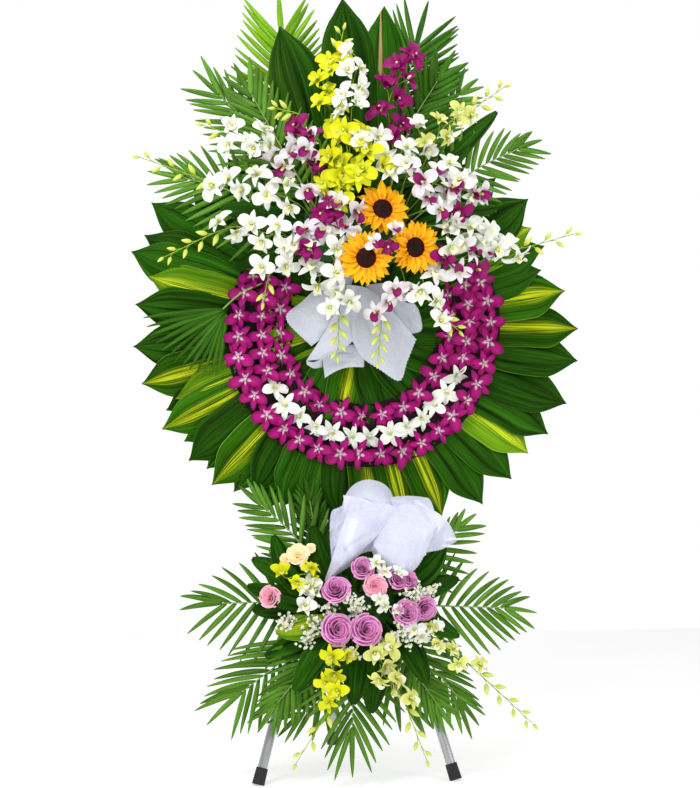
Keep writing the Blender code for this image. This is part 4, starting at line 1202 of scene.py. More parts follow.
    def frond(self, frond: Frond, number: int) -> Shape:
        """Makes one frond flat, at a depth of 0.

        Args:
            frond: Its midrib and its leaflets.
            number: Its own number, which varies its leaflets.

        Returns:
            The frond.
        """
        wander = default_rng(500 + number)
        path = flow([(x, 0.0, z) for x, z in metres(frond.route)], self.points)
        run = unit(np.gradient(path, axis=0))
        radius = np.linspace(self.rib_r, self.rib_r * 0.4, self.points)
        shapes = [tube(path, radius, 6, 1)]
        span = float(np.linalg.norm(np.diff(path, axis=0), axis=1).sum()) * (1 - self.bare)
        count = round(span / metres(frond.pitch))
        for row, hand in ((frond.left, 1), (frond.right, -1)):
            for i in range(count):
                share = (i + 0.25 * (1 - hand)) / (count - 0.5)
                at = round((self.points - 1) * (self.bare + (1 - self.bare) * min(1.0, share)))
                angle = float(np.interp(share, (0, 1), row.angles)) + wander.uniform(-3, 3)
                turn = hand * math.radians(angle)
                left = np.array((-run[at][2], 0.0, run[at][0]))
                way = run[at] * math.cos(turn) + left * math.sin(turn)
                length = float(np.interp(share, (0, 1), metres(row.lengths))) * wander.uniform(0.94, 1.04)
                shapes.append(self.leaflet(frond, path[at], way, run[at], length, wander))
        last = metres(min(frond.left.lengths[1], frond.right.lengths[1]))
        shapes.append(self.leaflet(frond, path[-1], run[-1], run[-1], last * 0.95, wander))
        return gather(shapes)

    def leaflet(
        self, frond: Frond, root: Array, way: Array, rib: Array, length: float, wander: Generator
    ) -> Shape:
        """Makes one leaflet, folded along its middle like a gutter.

        Args:
            frond: The frond that it is on.
            root: Where it leaves the midrib.
            way: Where it points.
            rib: Where the midrib points there, which the leaflet's tip bends towards.
            length: Its length.
            wander: The frond's source of variation.

        Returns:
            The leaflet.
        """
        share, across = steps(14, 5)
        curve = way * share[:, None] + rib * (0.09 * share[:, None] ** 2)
        spine = root + length * curve - UP * metres(frond.sag) * (share**2.2)[:, None]
        spine = spine - FRONT * (0.004 * np.sin(share * 3 + wander.uniform(0, 2)))[:, None]
        half = metres(frond.half_width) * wander.uniform(0.9, 1.1) * swell(share, 0.5, 0.72) + 0.0002
        lift = -0.45 * half[:, None] * np.abs(across)
        face = unit(FRONT + wander.uniform(-0.3, 0.3) * UP + wander.uniform(-0.3, 0.3) * RIGHT)
        return surface(blade(spine, face, half, lift, across), 0, wander.uniform(0, 1))

    def side_fan(self) -> None:
        """Lays the small frond that shows over the disc on the left, its leaflets fanned down and out."""
        wander = default_rng(590)
        root = np.array(self.fan_root)
        shapes = []
        for i in range(self.fan_leaflets):
            share = i / (self.fan_leaflets - 1)
            way = spoke(math.radians(self.fan_turn[0] + self.fan_turn[1] * share)) + TOP * (0.02 * (i % 2))
            length = self.fan_length[0] - self.fan_length[1] * share
            start = root + np.array((0.01, 0.0, -0.012)) * share
            shapes.append(self.leaflet(self.upper[1], start, way, way, length, wander))
        stalk = flow([root + (0.09, 0.004, 0.06), root + (0.04, 0.0, 0.035), root], 12)
        shapes.append(tube(stalk, self.rib_r / 1.2, 6, 1))
        piece("side_fan", gather(shapes), (DARK_PALM, PALM_RIB), (), LEAF_THICKNESS)


@dataclass(frozen=True)
class BroadLeaf:
    """One tall cordyline leaf behind the flowers, from its foot to its tip as x and z."""

    name: str
    foot: Flat
    tip: Flat
    width: float


@dataclass
class BroadLeaves:
    """The tall pleated leaves at the top of the arrangement."""

    depth: float = -0.136
    step: float = 0.005  # how far each stands in front of the one before
    tip_length: float = 0.135  # how long a leaf's tip is, from its widest place
    leaves: tuple[BroadLeaf, ...] = (
        BroadLeaf("left", (-64, 1262), (-168, 1722), 125),
        BroadLeaf("right", (26, 1262), (75, 1775), 105),
        BroadLeaf("centre", (-16, 1262), (-23, 1790), 120),
    )

    def build(self) -> None:
        """Makes the tall leaves."""
        for i, leaf in enumerate(self.leaves):
            shape = self.leaf(leaf, i)
            name = f"broad_leaf_{leaf.name}"
            piece(name, shape, (DARK_LEAF, LEAF_STALK), (name,), LEAF_THICKNESS)

    def leaf(self, leaf: BroadLeaf, number: int) -> Shape:
        """Makes one pleated leaf on its stalk.

        Args:
            leaf: Its foot, tip and width.
            number: Its own number.

        Returns:
            The leaf.
        """
        wander = default_rng(700 + number)
        share, across = steps(40, 29)
        foot, tip = (np.array((x, 0.0, z)) for x, z in metres((leaf.foot, leaf.tip)))
        side = unit(np.cross(tip - foot, FRONT))
        spine = foot + (tip - foot) * share[:, None] + side * (0.012 * np.sin(math.pi * share))[:, None]
        grown = np.clip((share - 0.1) / 0.35, 0, 1)
        length = float(np.linalg.norm(tip - foot))
        point = np.sin(math.pi / 2 * np.clip((1 - share) * length / self.tip_length, 0.004, 1))
        half = metres(leaf.width) / 2 * point * np.sin(grown * math.pi / 2) ** 0.8 + 0.0022 * (share < 0.9)
        fade = np.minimum(1.0, (1 - share) * 4)[:, None]
        pleats = 0.0009 * np.cos(across * 6 * math.pi + wander.uniform(0, 6)) * fade
        lift = pleats - 0.1 * half[:, None] * np.abs(across)
        grid = blade(spine, FRONT, half, lift, across)
        lean_back(grid, self.depth - number * self.step)
        return surface(grid, 0, wander.uniform(0, 1))


# ---------------------------------------------------------------- orchids


class Openness(Enum):
    """How far a floret has opened."""

    OPEN = 1.0
    CUPPED = 0.78
    HALF = 0.5


@dataclass(frozen=True)
class Tepal:
    """One sepal or petal of an orchid floret, as shares of the floret's radius.

    Attributes:
        degrees: Its turn round the face from the dorsal sepal.
        length: Its length.
        width: Its half width.
        point: How sharp its tip is.
        curl: How far its tip curls back.
    """

    degrees: float
    length: float
    width: float
    point: float
    curl: float


@dataclass(frozen=True)
class Floret:
    """A dendrobium floret of radius 1: its dorsal sepal up +Y and its face along +Z.

    Attributes:
        tepals: Its three sepals and two petals.
        lip_size: The size of its lip.
        variants: How many slightly different florets of the kind there are.
    """

    tepals: tuple[Tepal, ...] = (
        Tepal(0, 0.96, 0.21, 0.85, 0.16),
        Tepal(70, 1.02, 0.42, 0.54, 0.14),
        Tepal(-70, 1.02, 0.42, 0.54, 0.14),
        Tepal(146, 0.94, 0.22, 0.9, 0.18),
        Tepal(-146, 0.94, 0.22, 0.9, 0.18),
    )
    lip_size: float = 1.15
    variants: int = 5
    rows: int = 9
    columns: int = 7

    @cache
    def shape(self, openness: Openness, variant: int = 0) -> Shape:
        """Makes the floret's tepals, lip and column.

        Args:
            openness: How far it has opened.
            variant: Which of its kind's slightly different florets it is.

        Returns:
            The floret.
        """
        wander = default_rng(60 + variant)
        opened = openness.value
        parts = []
        for i, tepal in enumerate(self.tepals):
            turned = replace(
                tepal,
                degrees=tepal.degrees + wander.uniform(-7, 7),
                length=tepal.length * wander.uniform(0.92, 1.05),
                curl=tepal.curl + wander.uniform(-0.14, 0.14),
            )
            parts.append(self.tepal(turned, opened + wander.uniform(-0.1, 0.06), i))
        turn = towards(UP, RIGHT * wander.uniform(-0.15, 0.15) - FRONT)
        parts.append(self.lip(opened).moved(turn, np.zeros(3), self.lip_size))
        return gather([*parts, self.column().moved(turn, np.zeros(3), self.lip_size**0.5)])

    def tepal(self, tepal: Tepal, openness: float, number: int) -> Shape:
        """Makes one sepal or petal, cupped along its length.

        Args:
            tepal: Its sizes.
            openness: 1 where it lies open and less where it still stands up.
            number: Its place in the floret.

        Returns:
            The tepal.
        """
        turn, rise = math.radians(tepal.degrees), math.radians(72 * (1 - openness) + 8)
        out = np.array((math.sin(turn), math.cos(turn), 0.0))
        way = out * math.cos(rise) + UP * math.sin(rise)
        back = UP * math.cos(rise) - out * math.sin(rise)
        share = np.sin(np.linspace(0, math.pi / 2, self.rows))
        across = np.linspace(-1, 1, self.columns)
        arch = 0.07 * np.sin(math.pi * share) - tepal.curl * share**2.5
        spine = out * 0.05 + way * (tepal.length * share)[:, None] + back * arch[:, None]
        half = tepal.width * swell(share, 0.72, tepal.point)
        wave = 0.025 * np.sin(share * 7 + number * 2)[:, None] * across * np.abs(across)
        lift = 0.34 * half[:, None] * across**2 + wave
        lift = lift - 0.03 * np.exp(-((across / 0.18) ** 2)) * (1 - share[:, None])
        return surface(blade(spine, back, half, lift, across), 0, along=share)

    def lip(self, openness: float) -> Shape:
        """Makes the lip: rolled round the column at its base, then opening like a spoon.

        Args:
            openness: 1 where the floret is open and less where it is closed.

        Returns:
            The lip.
        """
        share, across = steps(9, 7)
        reach = 0.8 + 0.2 * openness
        y = -0.02 - 0.44 * share**1.5 * reach
        z = 0.06 + 0.42 * np.sin(share * 2.2)
        spine = np.stack([np.zeros(9), y, z], axis=1)
        half = 0.25 * (0.55 + 0.75 * share) * (1.02 - share**4) + 0.02
        roll = (0.9 - 0.7 * share)[:, None]
        frill = 0.05 * np.sin(across * 9)[None, :] * share[:, None]
        lift = roll * half[:, None] * across**2 + frill
        return surface(blade(spine, np.array((0.0, 0.6, 0.8)), half, lift, across), 1)

    def column(self) -> Shape:
        """Makes the short column over the throat, with its round cap."""
        path = np.array([(0, 0.02, 0.0), (0, 0.05, 0.14), (0, 0.05, 0.27), (0, 0.02, 0.36), (0, -0.02, 0.4)])
        return tube(path, np.array((0.1, 0.085, 0.095, 0.08, 0.02)), 7, 2)


def bud() -> Shape:
    """Makes an orchid bud of length 1 along +Y: a plump teardrop with the beak of its spur.

    Returns:
        The bud.
    """
    share = np.linspace(0, 1, 9)
    path = np.stack([np.zeros(9), share, 0.12 * np.sin(math.pi * share)], axis=1)
    radius = 0.2 * np.sin(math.pi * share**0.75) ** 0.8 + 0.015
    return tube(path, radius, 8, 4)


FLORET = Floret()
BOLD_FLORET = Floret(lip_size=1.4)
FLAT_FLORET = Floret(
    tepals=(
        Tepal(0, 0.98, 0.23, 0.8, 0.14),
        Tepal(67, 1.04, 0.38, 0.62, 0.02),
        Tepal(-67, 1.04, 0.38, 0.62, 0.02),
        Tepal(148, 1.0, 0.23, 0.85, 0.14),
        Tepal(-148, 1.0, 0.23, 0.85, 0.14),
    ),
    lip_size=0.55,
)
BUD = bud()


@dataclass(frozen=True)
class Spray:
    """One stem of orchids, from the foam through its florets to its buds.

    Attributes:
        bloom: The kind of orchid.
        route: Where its first floret sits, a point on the way, and where its last floret sits.
        florets: How many florets it has.
        buds: How many buds follow them.
        end: Where its last bud is.
        size: A floret's radius.
        solid: Whether a solid of the same name stands for it.
    """

    name: str
    bloom: Bloom
    route: tuple[Point, Point, Point]
    florets: int
    buds: int = 0
    end: Point | None = None
    size: float = 30
    solid: bool = False


SINK = 0.014  # how far a stem or a pick goes into its block of foam


def foot_in(foam: str, start: Point | Array) -> Array:
    """Finds where a stem goes into a block of foam: on the side that is nearest to start, a little way in."""
    low, high = (np.array(corner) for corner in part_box(foam))
    return np.clip(start, low + SINK, high - SINK)


@dataclass
class OrchidSprays:
    """The orchid stems in one block of foam, which open round the block like a fan."""

    foam: str
    heart: Point  # the florets look away from here
    sprays: tuple[Spray, ...]
    stem_r: float = 0.0015
    points: int = 90  # to a stem
    half_open: float = 0.12  # the share of its florets that are half open
    cupped: float = 0.4  # the share that aren't wide open, with those
    seed: int = 900

    def build(self) -> None:
        """Makes every spray."""
        for i, spray in enumerate(self.sprays):
            shape = self.spray(spray, default_rng(self.seed + i))
            piece(spray.name, shape, spray.bloom.value, (spray.name,) if spray.solid else ())

    def spray(self, spray: Spray, wander: Generator) -> Shape:
        """Makes one spray.

        Args:
            spray: Its route and its counts.
            wander: Its source of variation.

        Returns:
            The spray.
        """
        start, bend, tip = metres(spray.route)
        knots = [foot_in(self.foam, start), start, bend, tip] + ([metres(spray.end)] if spray.end else [])
        stem = flow(knots, self.points)
        first, last = (int(np.argmin(np.linalg.norm(stem - point, axis=1))) for point in (start, tip))
        run = unit(np.gradient(stem, axis=0))
        radius = np.linspace(self.stem_r * 1.2, self.stem_r * 0.55, self.points)
        shapes = [tube(stem, radius, 6, 3, every=2)]
        for k in range(spray.florets):
            at = round(first + (last - first) * k / max(1, spray.florets - 1))
            shapes += self.on_stem(spray, stem, run, at, 1 if k % 2 else -1, wander)
        for k in range(spray.buds):
            share = (k + 1) / spray.buds
            at = round(last + (self.points - 1 - last) * share)
            shapes += self.bud_on_stem(stem, run, at, share, 1 if k % 2 else -1, wander)
        return gather(shapes)

    def on_stem(
        self, spray: Spray, stem: Array, run: Array, at: int, hand: int, wander: Generator
    ) -> list[Shape]:
        """Makes one floret and its stalk.

        Args:
            spray: The spray that it is on.
            stem: The stem's points.
            run: The stem's direction at each point.
            at: Which of the stem's points it grows from.
            hand: Which side of the stem it is on.
            wander: The spray's source of variation.

        Returns:
            The floret and its stalk.
        """
        outward = unit(stem[at] - np.array(self.heart))
        side = unit(np.cross(run[at], outward)) * hand
        radius = metres(spray.size)
        place = stem[at] + side * radius * wander.uniform(0.25, 0.75)
        place = place + outward * radius * wander.uniform(0.2, 0.7)
        front = unit(outward * 0.45 + FRONT * 0.55 + side * 0.45 + wander.normal(0, 0.34, 3))
        up = unit(UP + side * 0.5 + wander.normal(0, 0.5, 3))
        choice = wander.random()
        opened = Openness.CUPPED if choice < self.cupped else Openness.OPEN
        if at >= self.points - 1 or choice < self.half_open:
            opened = Openness.HALF
        size = radius * wander.uniform(0.98, 1.2)
        kind = BOLD_FLORET if spray.bloom is Bloom.BICOLOUR else FLORET
        variant = int(wander.integers(kind.variants))
        floret = kind.shape(opened, variant).moved(towards(front, up), place, size, wander.random())
        if spray.bloom is Bloom.BICOLOUR and (at + variant) % 3 == 0:
            # A third of these florets are as dark all over as the others' lips.
            floret = replace(floret, kinds=np.where(floret.kinds == 0, 1, floret.kinds))
        stalk = flow([stem[max(0, at - 4)], (stem[at] + place) / 2 - front * 0.004, place + front * 0.001], 7)
        return [floret, tube(stalk, 0.0009, 5, 3)]

    def bud_on_stem(
        self, stem: Array, run: Array, at: int, share: float, hand: int, wander: Generator
    ) -> list[Shape]:
        """Makes one bud and its stalk.

        Args:
            stem: The stem's points.
            run: The stem's direction at each point.
            at: Which of the stem's points it grows from.
            share: Its place from the last floret, 0, to the stem's end, 1.
            hand: Which side of the stem it is on.
            wander: The spray's source of variation.

        Returns:
            The bud and its stalk.
        """
        side = unit(np.cross(run[at], FRONT)) * hand
        last = share >= 1.0
        way = unit(run[at] + (0 if last else 0.9) * side + FRONT * 0.25 - UP * 0.25)
        root = stem[at] + (0.0 if last else 0.008) * way
        length = 0.026 * (1.15 - 0.45 * share)
        turn = towards(np.cross(way, side) + FRONT * 0.1, way)
        stalk = flow([stem[max(0, at - 2)], (stem[at] + root) / 2, root], 5)
        return [BUD.moved(turn, root, length, wander.random()), tube(stalk, 0.0008, 5, 3)]


UPPER_SPRAYS = (
    Spray("yellow_orchid_spray", Bloom.YELLOW, ((-48, -190, 1482), (-78, -182, 1552), (-44, -168, 1640)), 8,
        4, (-30, -160, 1702), 26, True),
    Spray("white_orchid_spray_top", Bloom.WHITE, ((-22, -235, 1486), (-19, -232, 1556), (-3, -215, 1622)), 7,
        0, None, 28, True),
    Spray("purple_orchid_spray", Bloom.MAGENTA, ((74, -222, 1440), (66, -205, 1528), (112, -176, 1630)), 8,
        1, (120, -168, 1655), 32, True),
    Spray("white_orchid_spray_upper_left", Bloom.WHITE, ((-188, -235, 1430), (-248, -222, 1423),
        (-290, -200, 1455)), 6, 3, (-347, -182, 1478), 29, True),
    Spray("white_orchid_spray_left", Bloom.WHITE, ((-146, -263, 1298), (-238, -236, 1337),
        (-310, -205, 1344)), 7, 7, (-490, -175, 1405), 31, True),
    Spray("white_orchid_spray_lower_left", Bloom.WHITE, ((-157, -259, 1223), (-223, -245, 1235),
        (-295, -230, 1245)), 6, 8, (-436, -205, 1181), 30, True),
    Spray("white_orchid_spray_upper_right", Bloom.CREAM, ((157, -252, 1428), (196, -235, 1484),
        (240, -215, 1509)), 6, 6, (336, -190, 1576), 24, True),
    Spray("white_orchid_spray_right", Bloom.WHITE, ((191, -260, 1223), (278, -240, 1229), (344, -215, 1204)),
        8, 6, (498, -195, 1243), 31, True),
    Spray("purple_orchid_spray_left", Bloom.BICOLOUR, ((-94, -254, 1437), (-143, -252, 1401),
        (-196, -243, 1380)), 6, size=28, solid=True),
    Spray("white_orchid_spray_centre", Bloom.WHITE, ((192, -255, 1370), (224, -251, 1326),
        (172, -267, 1271)), 5, size=31, solid=True),
    Spray("lemon_spray_inner", Bloom.YELLOW, ((-42, -275, 1300), (-74, -270, 1335), (-55, -266, 1384)), 5),
    Spray("lemon_spray_outer", Bloom.YELLOW, ((-30, -275, 1330), (-20, -272, 1377), (34, -270, 1396)), 6),
    Spray("yellow_spray_mid", Bloom.YELLOW, ((-30, -262, 1390), (-42, -250, 1462), (-6, -256, 1440)), 5),
    Spray("white_spray_mid", Bloom.WHITE, ((-28, -252, 1436), (47, -260, 1417), (73, -268, 1377)), 5),
    Spray("bicolour_spray_centre", Bloom.BICOLOUR, ((-33, -278, 1290), (-74, -274, 1279),
        (-105, -266, 1328)), 5),
    Spray("bicolour_spray_low", Bloom.BICOLOUR, ((-50, -278, 1250), (-92, -272, 1244), (-126, -262, 1205)),
        5),
    Spray("white_spray_front_left", Bloom.WHITE, ((-110, -268, 1200), (-145, -262, 1190),
        (-200, -240, 1149)), 4, 3, (-217, -224, 1081), 31),
    Spray("white_spray_hanging_left", Bloom.WHITE, ((-110, -256, 1150), (-39, -262, 1121),
        (-49, -250, 1073)), 6, 7, (-50, -221, 962), 31),
    Spray("white_spray_hanging_right", Bloom.BICOLOUR, ((94, -262, 1117), (44, -258, 1095),
        (48, -240, 1065)), 4, 8, (40, -219, 952), 28),
    Spray("white_spray_low_right", Bloom.WHITE, ((130, -262, 1150), (142, -251, 1100), (176, -236, 1060)), 4,
        4, (226, -215, 1020), 31),
    Spray("bicolour_spray_mid_right", Bloom.BICOLOUR, ((178, -256, 1170), (225, -246, 1180),
        (277, -231, 1172)), 5),
    Spray("white_spray_upper_mid", Bloom.WHITE, ((68, -272, 1359), (111, -258, 1410), (140, -244, 1452)), 5),
    Spray("bicolour_spray_right", Bloom.BICOLOUR, ((100, -268, 1361), (173, -258, 1343), (257, -238, 1340)),
        6),
    Spray("bicolour_spray_right_low", Bloom.BICOLOUR, ((135, -268, 1284), (184, -259, 1294),
        (238, -245, 1293)), 5),
    Spray("white_spray_under", Bloom.WHITE, ((175, -258, 1252), (201, -252, 1219), (234, -243, 1198)), 3),
    Spray("white_spray_heart", Bloom.WHITE, ((-40, -262, 1244), (-76, -264, 1205), (-58, -262, 1165)), 4),
    Spray("bicolour_spray_over_sunflowers", Bloom.BICOLOUR, ((29, -306, 1206), (48, -310, 1214),
        (70, -306, 1224)), 3, size=21),
    Spray("bud_spray_left_top", Bloom.YELLOW, ((-110, -236, 1440), (-125, -232, 1475), (-140, -230, 1500)),
        0, 5, (-190, -224, 1512)),
    Spray("bicolour_spray_left_top", Bloom.BICOLOUR, ((-131, -240, 1460), (-121, -248, 1419),
        (-126, -252, 1385)), 3),
)

LOWER_SPRAYS = (
    Spray("yellow_orchid_spray_low_left", Bloom.YELLOW, ((-44, -278, 312), (-78, -290, 262),
        (-68, -293, 206)), 6, 5, (-150, -286, 68), 24.5, True),
    Spray("yellow_orchid_spray_low_centre", Bloom.CREAM, ((40, -278, 327), (38, -290, 268), (82, -291, 212)),
        7, 6, (140, -286, 68), 27, True),
    Spray("white_orchid_spray_low_right", Bloom.CREAM, ((140, -258, 350), (196, -260, 305),
        (244, -262, 270)), 5, 9, (393, -228, 133), 22, True),
    Spray("white_posy_right", Bloom.WHITE, ((110, -264, 365), (140, -262, 352), (172, -258, 335)), 4, 0,
        None, 22),
    Spray("yellow_posy_left", Bloom.YELLOW, ((-95, -232, 458), (-122, -238, 478), (-166, -230, 468)), 4, 0,
        None, 25),
    Spray("white_posy_left", Bloom.WHITE, ((-85, -242, 425), (-108, -246, 438), (-126, -240, 412)), 3, 0,
        None, 28),
    Spray("white_posy_centre", Bloom.WHITE, ((42, -244, 494), (58, -244, 490), (68, -250, 470)), 3, 0, None,
        19),
    Spray("white_posy_low", Bloom.WHITE, ((30, -262, 414), (50, -254, 412), (66, -262, 390)), 3, size=18),
)


@dataclass(frozen=True)
class GarlandRow:
    """One row of the garland.

    Attributes:
        route: Points that the row goes through, as x and z, from the upper left round to the upper right.
        count: How many florets it has.
        white: Its white florets' first and last numbers.
    """

    route: tuple[Flat, ...]
    count: int
    white: tuple[int, int] | None = None


@dataclass
class Garland:
    """The band of orchids wired to the board: magenta rows, with a crescent of white ones in the middle."""

    depth: float = 0.0895
    size: float = 0.0355
    white_size: float = 0.0315
    # The half width of the near-black strip of painted shade behind each row.
    shade_strip_half_width: float = 0.027
    # Its rows, the outermost first.
    rows: tuple[GarlandRow, ...] = (
        GarlandRow(((-232, 1150), (-263, 1060), (-262, 975), (-236, 890), (-182, 812), (-92, 760), (3, 737),
            (100, 744), (184, 781), (258, 853), (300, 932), (320, 1043), (300, 1140)), 25),
        GarlandRow(((-196, 1140), (-212, 1060), (-208, 975), (-188, 906), (-146, 846), (-84, 806), (1, 779),
            (81, 788), (150, 814), (216, 877), (254, 951), (271, 1030), (262, 1130)), 24, (6, 18)),
        GarlandRow(((-158, 1120), (-165, 1040), (-161, 960), (-111, 884), (-47, 843), (40, 828), (134, 860),
            (196, 930), (226, 1020), (222, 1110)), 17),
    )

    def build(self) -> None:
        """Makes the two magenta pieces and the white crescent."""
        outer, middle, inner = self.rows
        # Each row lies over its strip of painted shade.
        outside = [*self.row(outer, 0), self.shade_strip(outer)]
        inside = [*self.row(middle, 1), *self.row(inner, 2), self.shade_strip(middle), self.shade_strip(inner)]
        crescent = self.row(middle, 1, white=True)
        for name, shapes, bloom, slot, node in (
            ("garland_outer", outside, Bloom.GARLAND, Slot.PURPLE_ORCHID, "purple_orchids_outer"),
            ("garland_inner", inside, Bloom.GARLAND, Slot.PURPLE_ORCHID, "purple_orchids_inner"),
            ("garland_crescent", crescent, Bloom.WHITE, Slot.WHITE_ORCHID, "white_orchid_crescent"),
        ):
            piece(name, gather(shapes), bloom.value, (node,))

    def shade_strip(self, row: GarlandRow) -> Shape:
        """Makes a near-black strip behind a row, painted shade that shows in the gaps between its florets.

        Args:
            row: Where the row runs.

        Returns:
            The strip.
        """
        share, across = steps(80, 7)
        path = flow([(x, -self.depth + 0.002, z) for x, z in metres(row.route)], len(share))
        lift = 0.003 * np.sin(np.arange(80)[:, None] * 1.7 + np.arange(7)[None, :] * 2.3)
        return surface(blade(path, FRONT, np.full(len(share), self.shade_strip_half_width), lift, across), 3)

    def row(self, row: GarlandRow, number: int, white: bool = False) -> list[Shape]:
        """Makes a row's white florets or the rest of them.

        Args:
            row: Where the row runs.
            number: The row's own number, outermost first.
            white: Whether to make the white ones.

        Returns:
            The florets.
        """
        path = flow([(x, -self.depth - 0.004 * (2 - number), z) for x, z in metres(row.route)], row.count)
        run = unit(np.gradient(path, axis=0))
        florets = []
        for i, place in enumerate(path):
            if (row.white is not None and row.white[0] <= i <= row.white[1]) is not white:
                continue
            wander = default_rng(1300 + 100 * number + i)
            out = np.cross(run[i], FRONT)
            spot = place + run[i] * wander.uniform(-0.003, 0.003) + out * wander.uniform(-0.003, 0.003)
            # The florets hang head down on the left, and turn every way on the right.
            loose = 0.15 if place[0] < 0.06 else 0.9
            up = -UP + 0.25 * run[i] * (place[0] > 0.06) + RIGHT * wander.normal(0, loose)
            front = unit(FRONT + out * wander.uniform(-0.15, 0.3) + wander.normal(0, 0.24, 3))
            size = (self.white_size if white else self.size) * wander.uniform(0.88, 1.08)
            floret = FLAT_FLORET.shape(Openness.OPEN, int(wander.integers(FLAT_FLORET.variants)))
            florets.append(floret.moved(towards(front, up), spot, size, wander.random()))
        return florets


# ---------------------------------------------------------------- sunflowers, roses and gypsophila


@dataclass(frozen=True)
class Sunflower:
    """One sunflower: two rows of ray florets, a domed eye, green bracts and a stem.

    Attributes:
        centre: The middle of its face.
        facing: Where its face looks.
        foot: Where its stem goes into the foam.
    """

    name: str
    centre: Point
    facing: Point
    foot: Point
    radius: float = 0.061
    eye_r: float = 0.0285
    rays: int = 16  # to a row
    bract_count: int = 18
    florets: int = 230
    stem_r: float = 0.0042
    golden_angle: float = math.radians(137.508)  # the turn from one floret of the eye to the next

    def build(self) -> None:
        """Makes the flower head on its stem."""
        wander = default_rng(1700 + int(1000 * abs(self.centre[0])))
        head = gather([*self.ray_rows(wander), *self.eye(), *self.bracts(wander)])
        turn = towards(np.array(self.facing), UP)
        placed = head.moved(turn, np.array(self.centre))
        neck = np.array(self.centre) - turn[:, 2] * 0.02
        stem = flow([self.foot, neck - turn[:, 2] * 0.012, neck], 16)
        shape = gather([placed, tube(stem, self.stem_r, 8, 2)])
        piece(self.name, shape, (RAY_FLORET, EYE_FLORET, CALYX), (self.name,))

    def ray_rows(self, wander: Generator) -> list[Shape]:
        """Makes the ray florets: grooved blades in two rows, the back row between the front one's.

        Args:
            wander: The flower's source of variation.

        Returns:
            The ray florets.
        """
        rays = []
        share, across = steps(12, 7)
        for row in range(2):
            for i in range(self.rays):
                turn = math.tau * (i + 0.5 * row + wander.uniform(-0.2, 0.2)) / self.rays
                out = spoke(turn, TOP)
                length = (self.radius - self.eye_r + 0.006) * wander.uniform(0.82, 1.08)
                droop = wander.uniform(-0.012, 0.01)
                spine = out * (self.eye_r - 0.006 + length * share)[:, None]
                rise = 0.004 - 0.005 * row + 0.006 * np.sin(share * 2.4) - droop * share**2
                spine = spine + UP * rise[:, None]
                half = 0.0102 * wander.uniform(0.85, 1.1) * swell(share, 0.45, 0.95)
                grooves = 0.0006 * np.cos(across * 2 * math.pi)[None, :] * np.ones((12, 1))
                lift = grooves + 0.25 * half[:, None] * across**2
                face = unit(UP + wander.uniform(-0.5, 0.5) * np.cross(UP, out))
                rays.append(surface(blade(spine, face, half, lift, across), 0, wander.uniform(0, 1)))
        return rays

    def eye(self) -> list[Shape]:
        """Makes the domed eye: a backing disc under little florets set in a spiral.

        Returns:
            The disc and the florets.
        """
        share = np.linspace(0.02, 1, 8)
        turn = np.linspace(0, math.tau, 28, endpoint=False)
        radius = (share * self.eye_r)[:, None]
        dome = (0.006 - 0.007 * share**2)[:, None]
        disc = np.stack(np.broadcast_arrays(radius * np.cos(turn), radius * np.sin(turn), dome), -1)
        parts = [surface(disc, 1, along=share, ring=True)]
        for i in range(self.florets):
            part = math.sqrt((i + 0.5) / self.florets)
            angle = i * self.golden_angle
            base = spoke(angle, TOP) * part * self.eye_r
            base[2] = 0.005 - 0.007 * part**2
            way = unit(UP + base * 9)
            height = 0.0026 + 0.0022 * part**3
            path = base + way * (height * np.array((0.0, 0.6, 1.0)))[:, None]
            cone = tube(path, np.array((0.0011, 0.001, 0.0003)), 5, 1)
            cone.marks[:, 1] = part
            parts.append(cone)
        return parts

    def bracts(self, wander: Generator) -> list[Shape]:
        """Makes the green bracts behind the rays.

        Args:
            wander: The flower's source of variation.

        Returns:
            The bracts.
        """
        bracts = []
        share, across = steps(7, 5)
        for i in range(self.bract_count):
            turn = math.tau * (i + wander.uniform(-0.2, 0.2)) / self.bract_count
            out = spoke(turn, TOP)
            spine = out * (0.004 + 0.034 * share)[:, None] - UP * (0.02 - 0.014 * share**0.7)[:, None]
            half = 0.0075 * swell(share, 0.3, 0.9)
            lift = -0.2 * half[:, None] * across**2
            bracts.append(surface(blade(spine, out * 0.5 - UP, half, lift, across), 2))
        return bracts


@dataclass(frozen=True)
class RoseHead:
    """One rose: the middle of its head, its radius and which of the bunch's finishes it has."""

    centre: Point
    radius: float
    kind: int = 0
    ruffled: bool = False  # a fuller flower with more, smaller petals


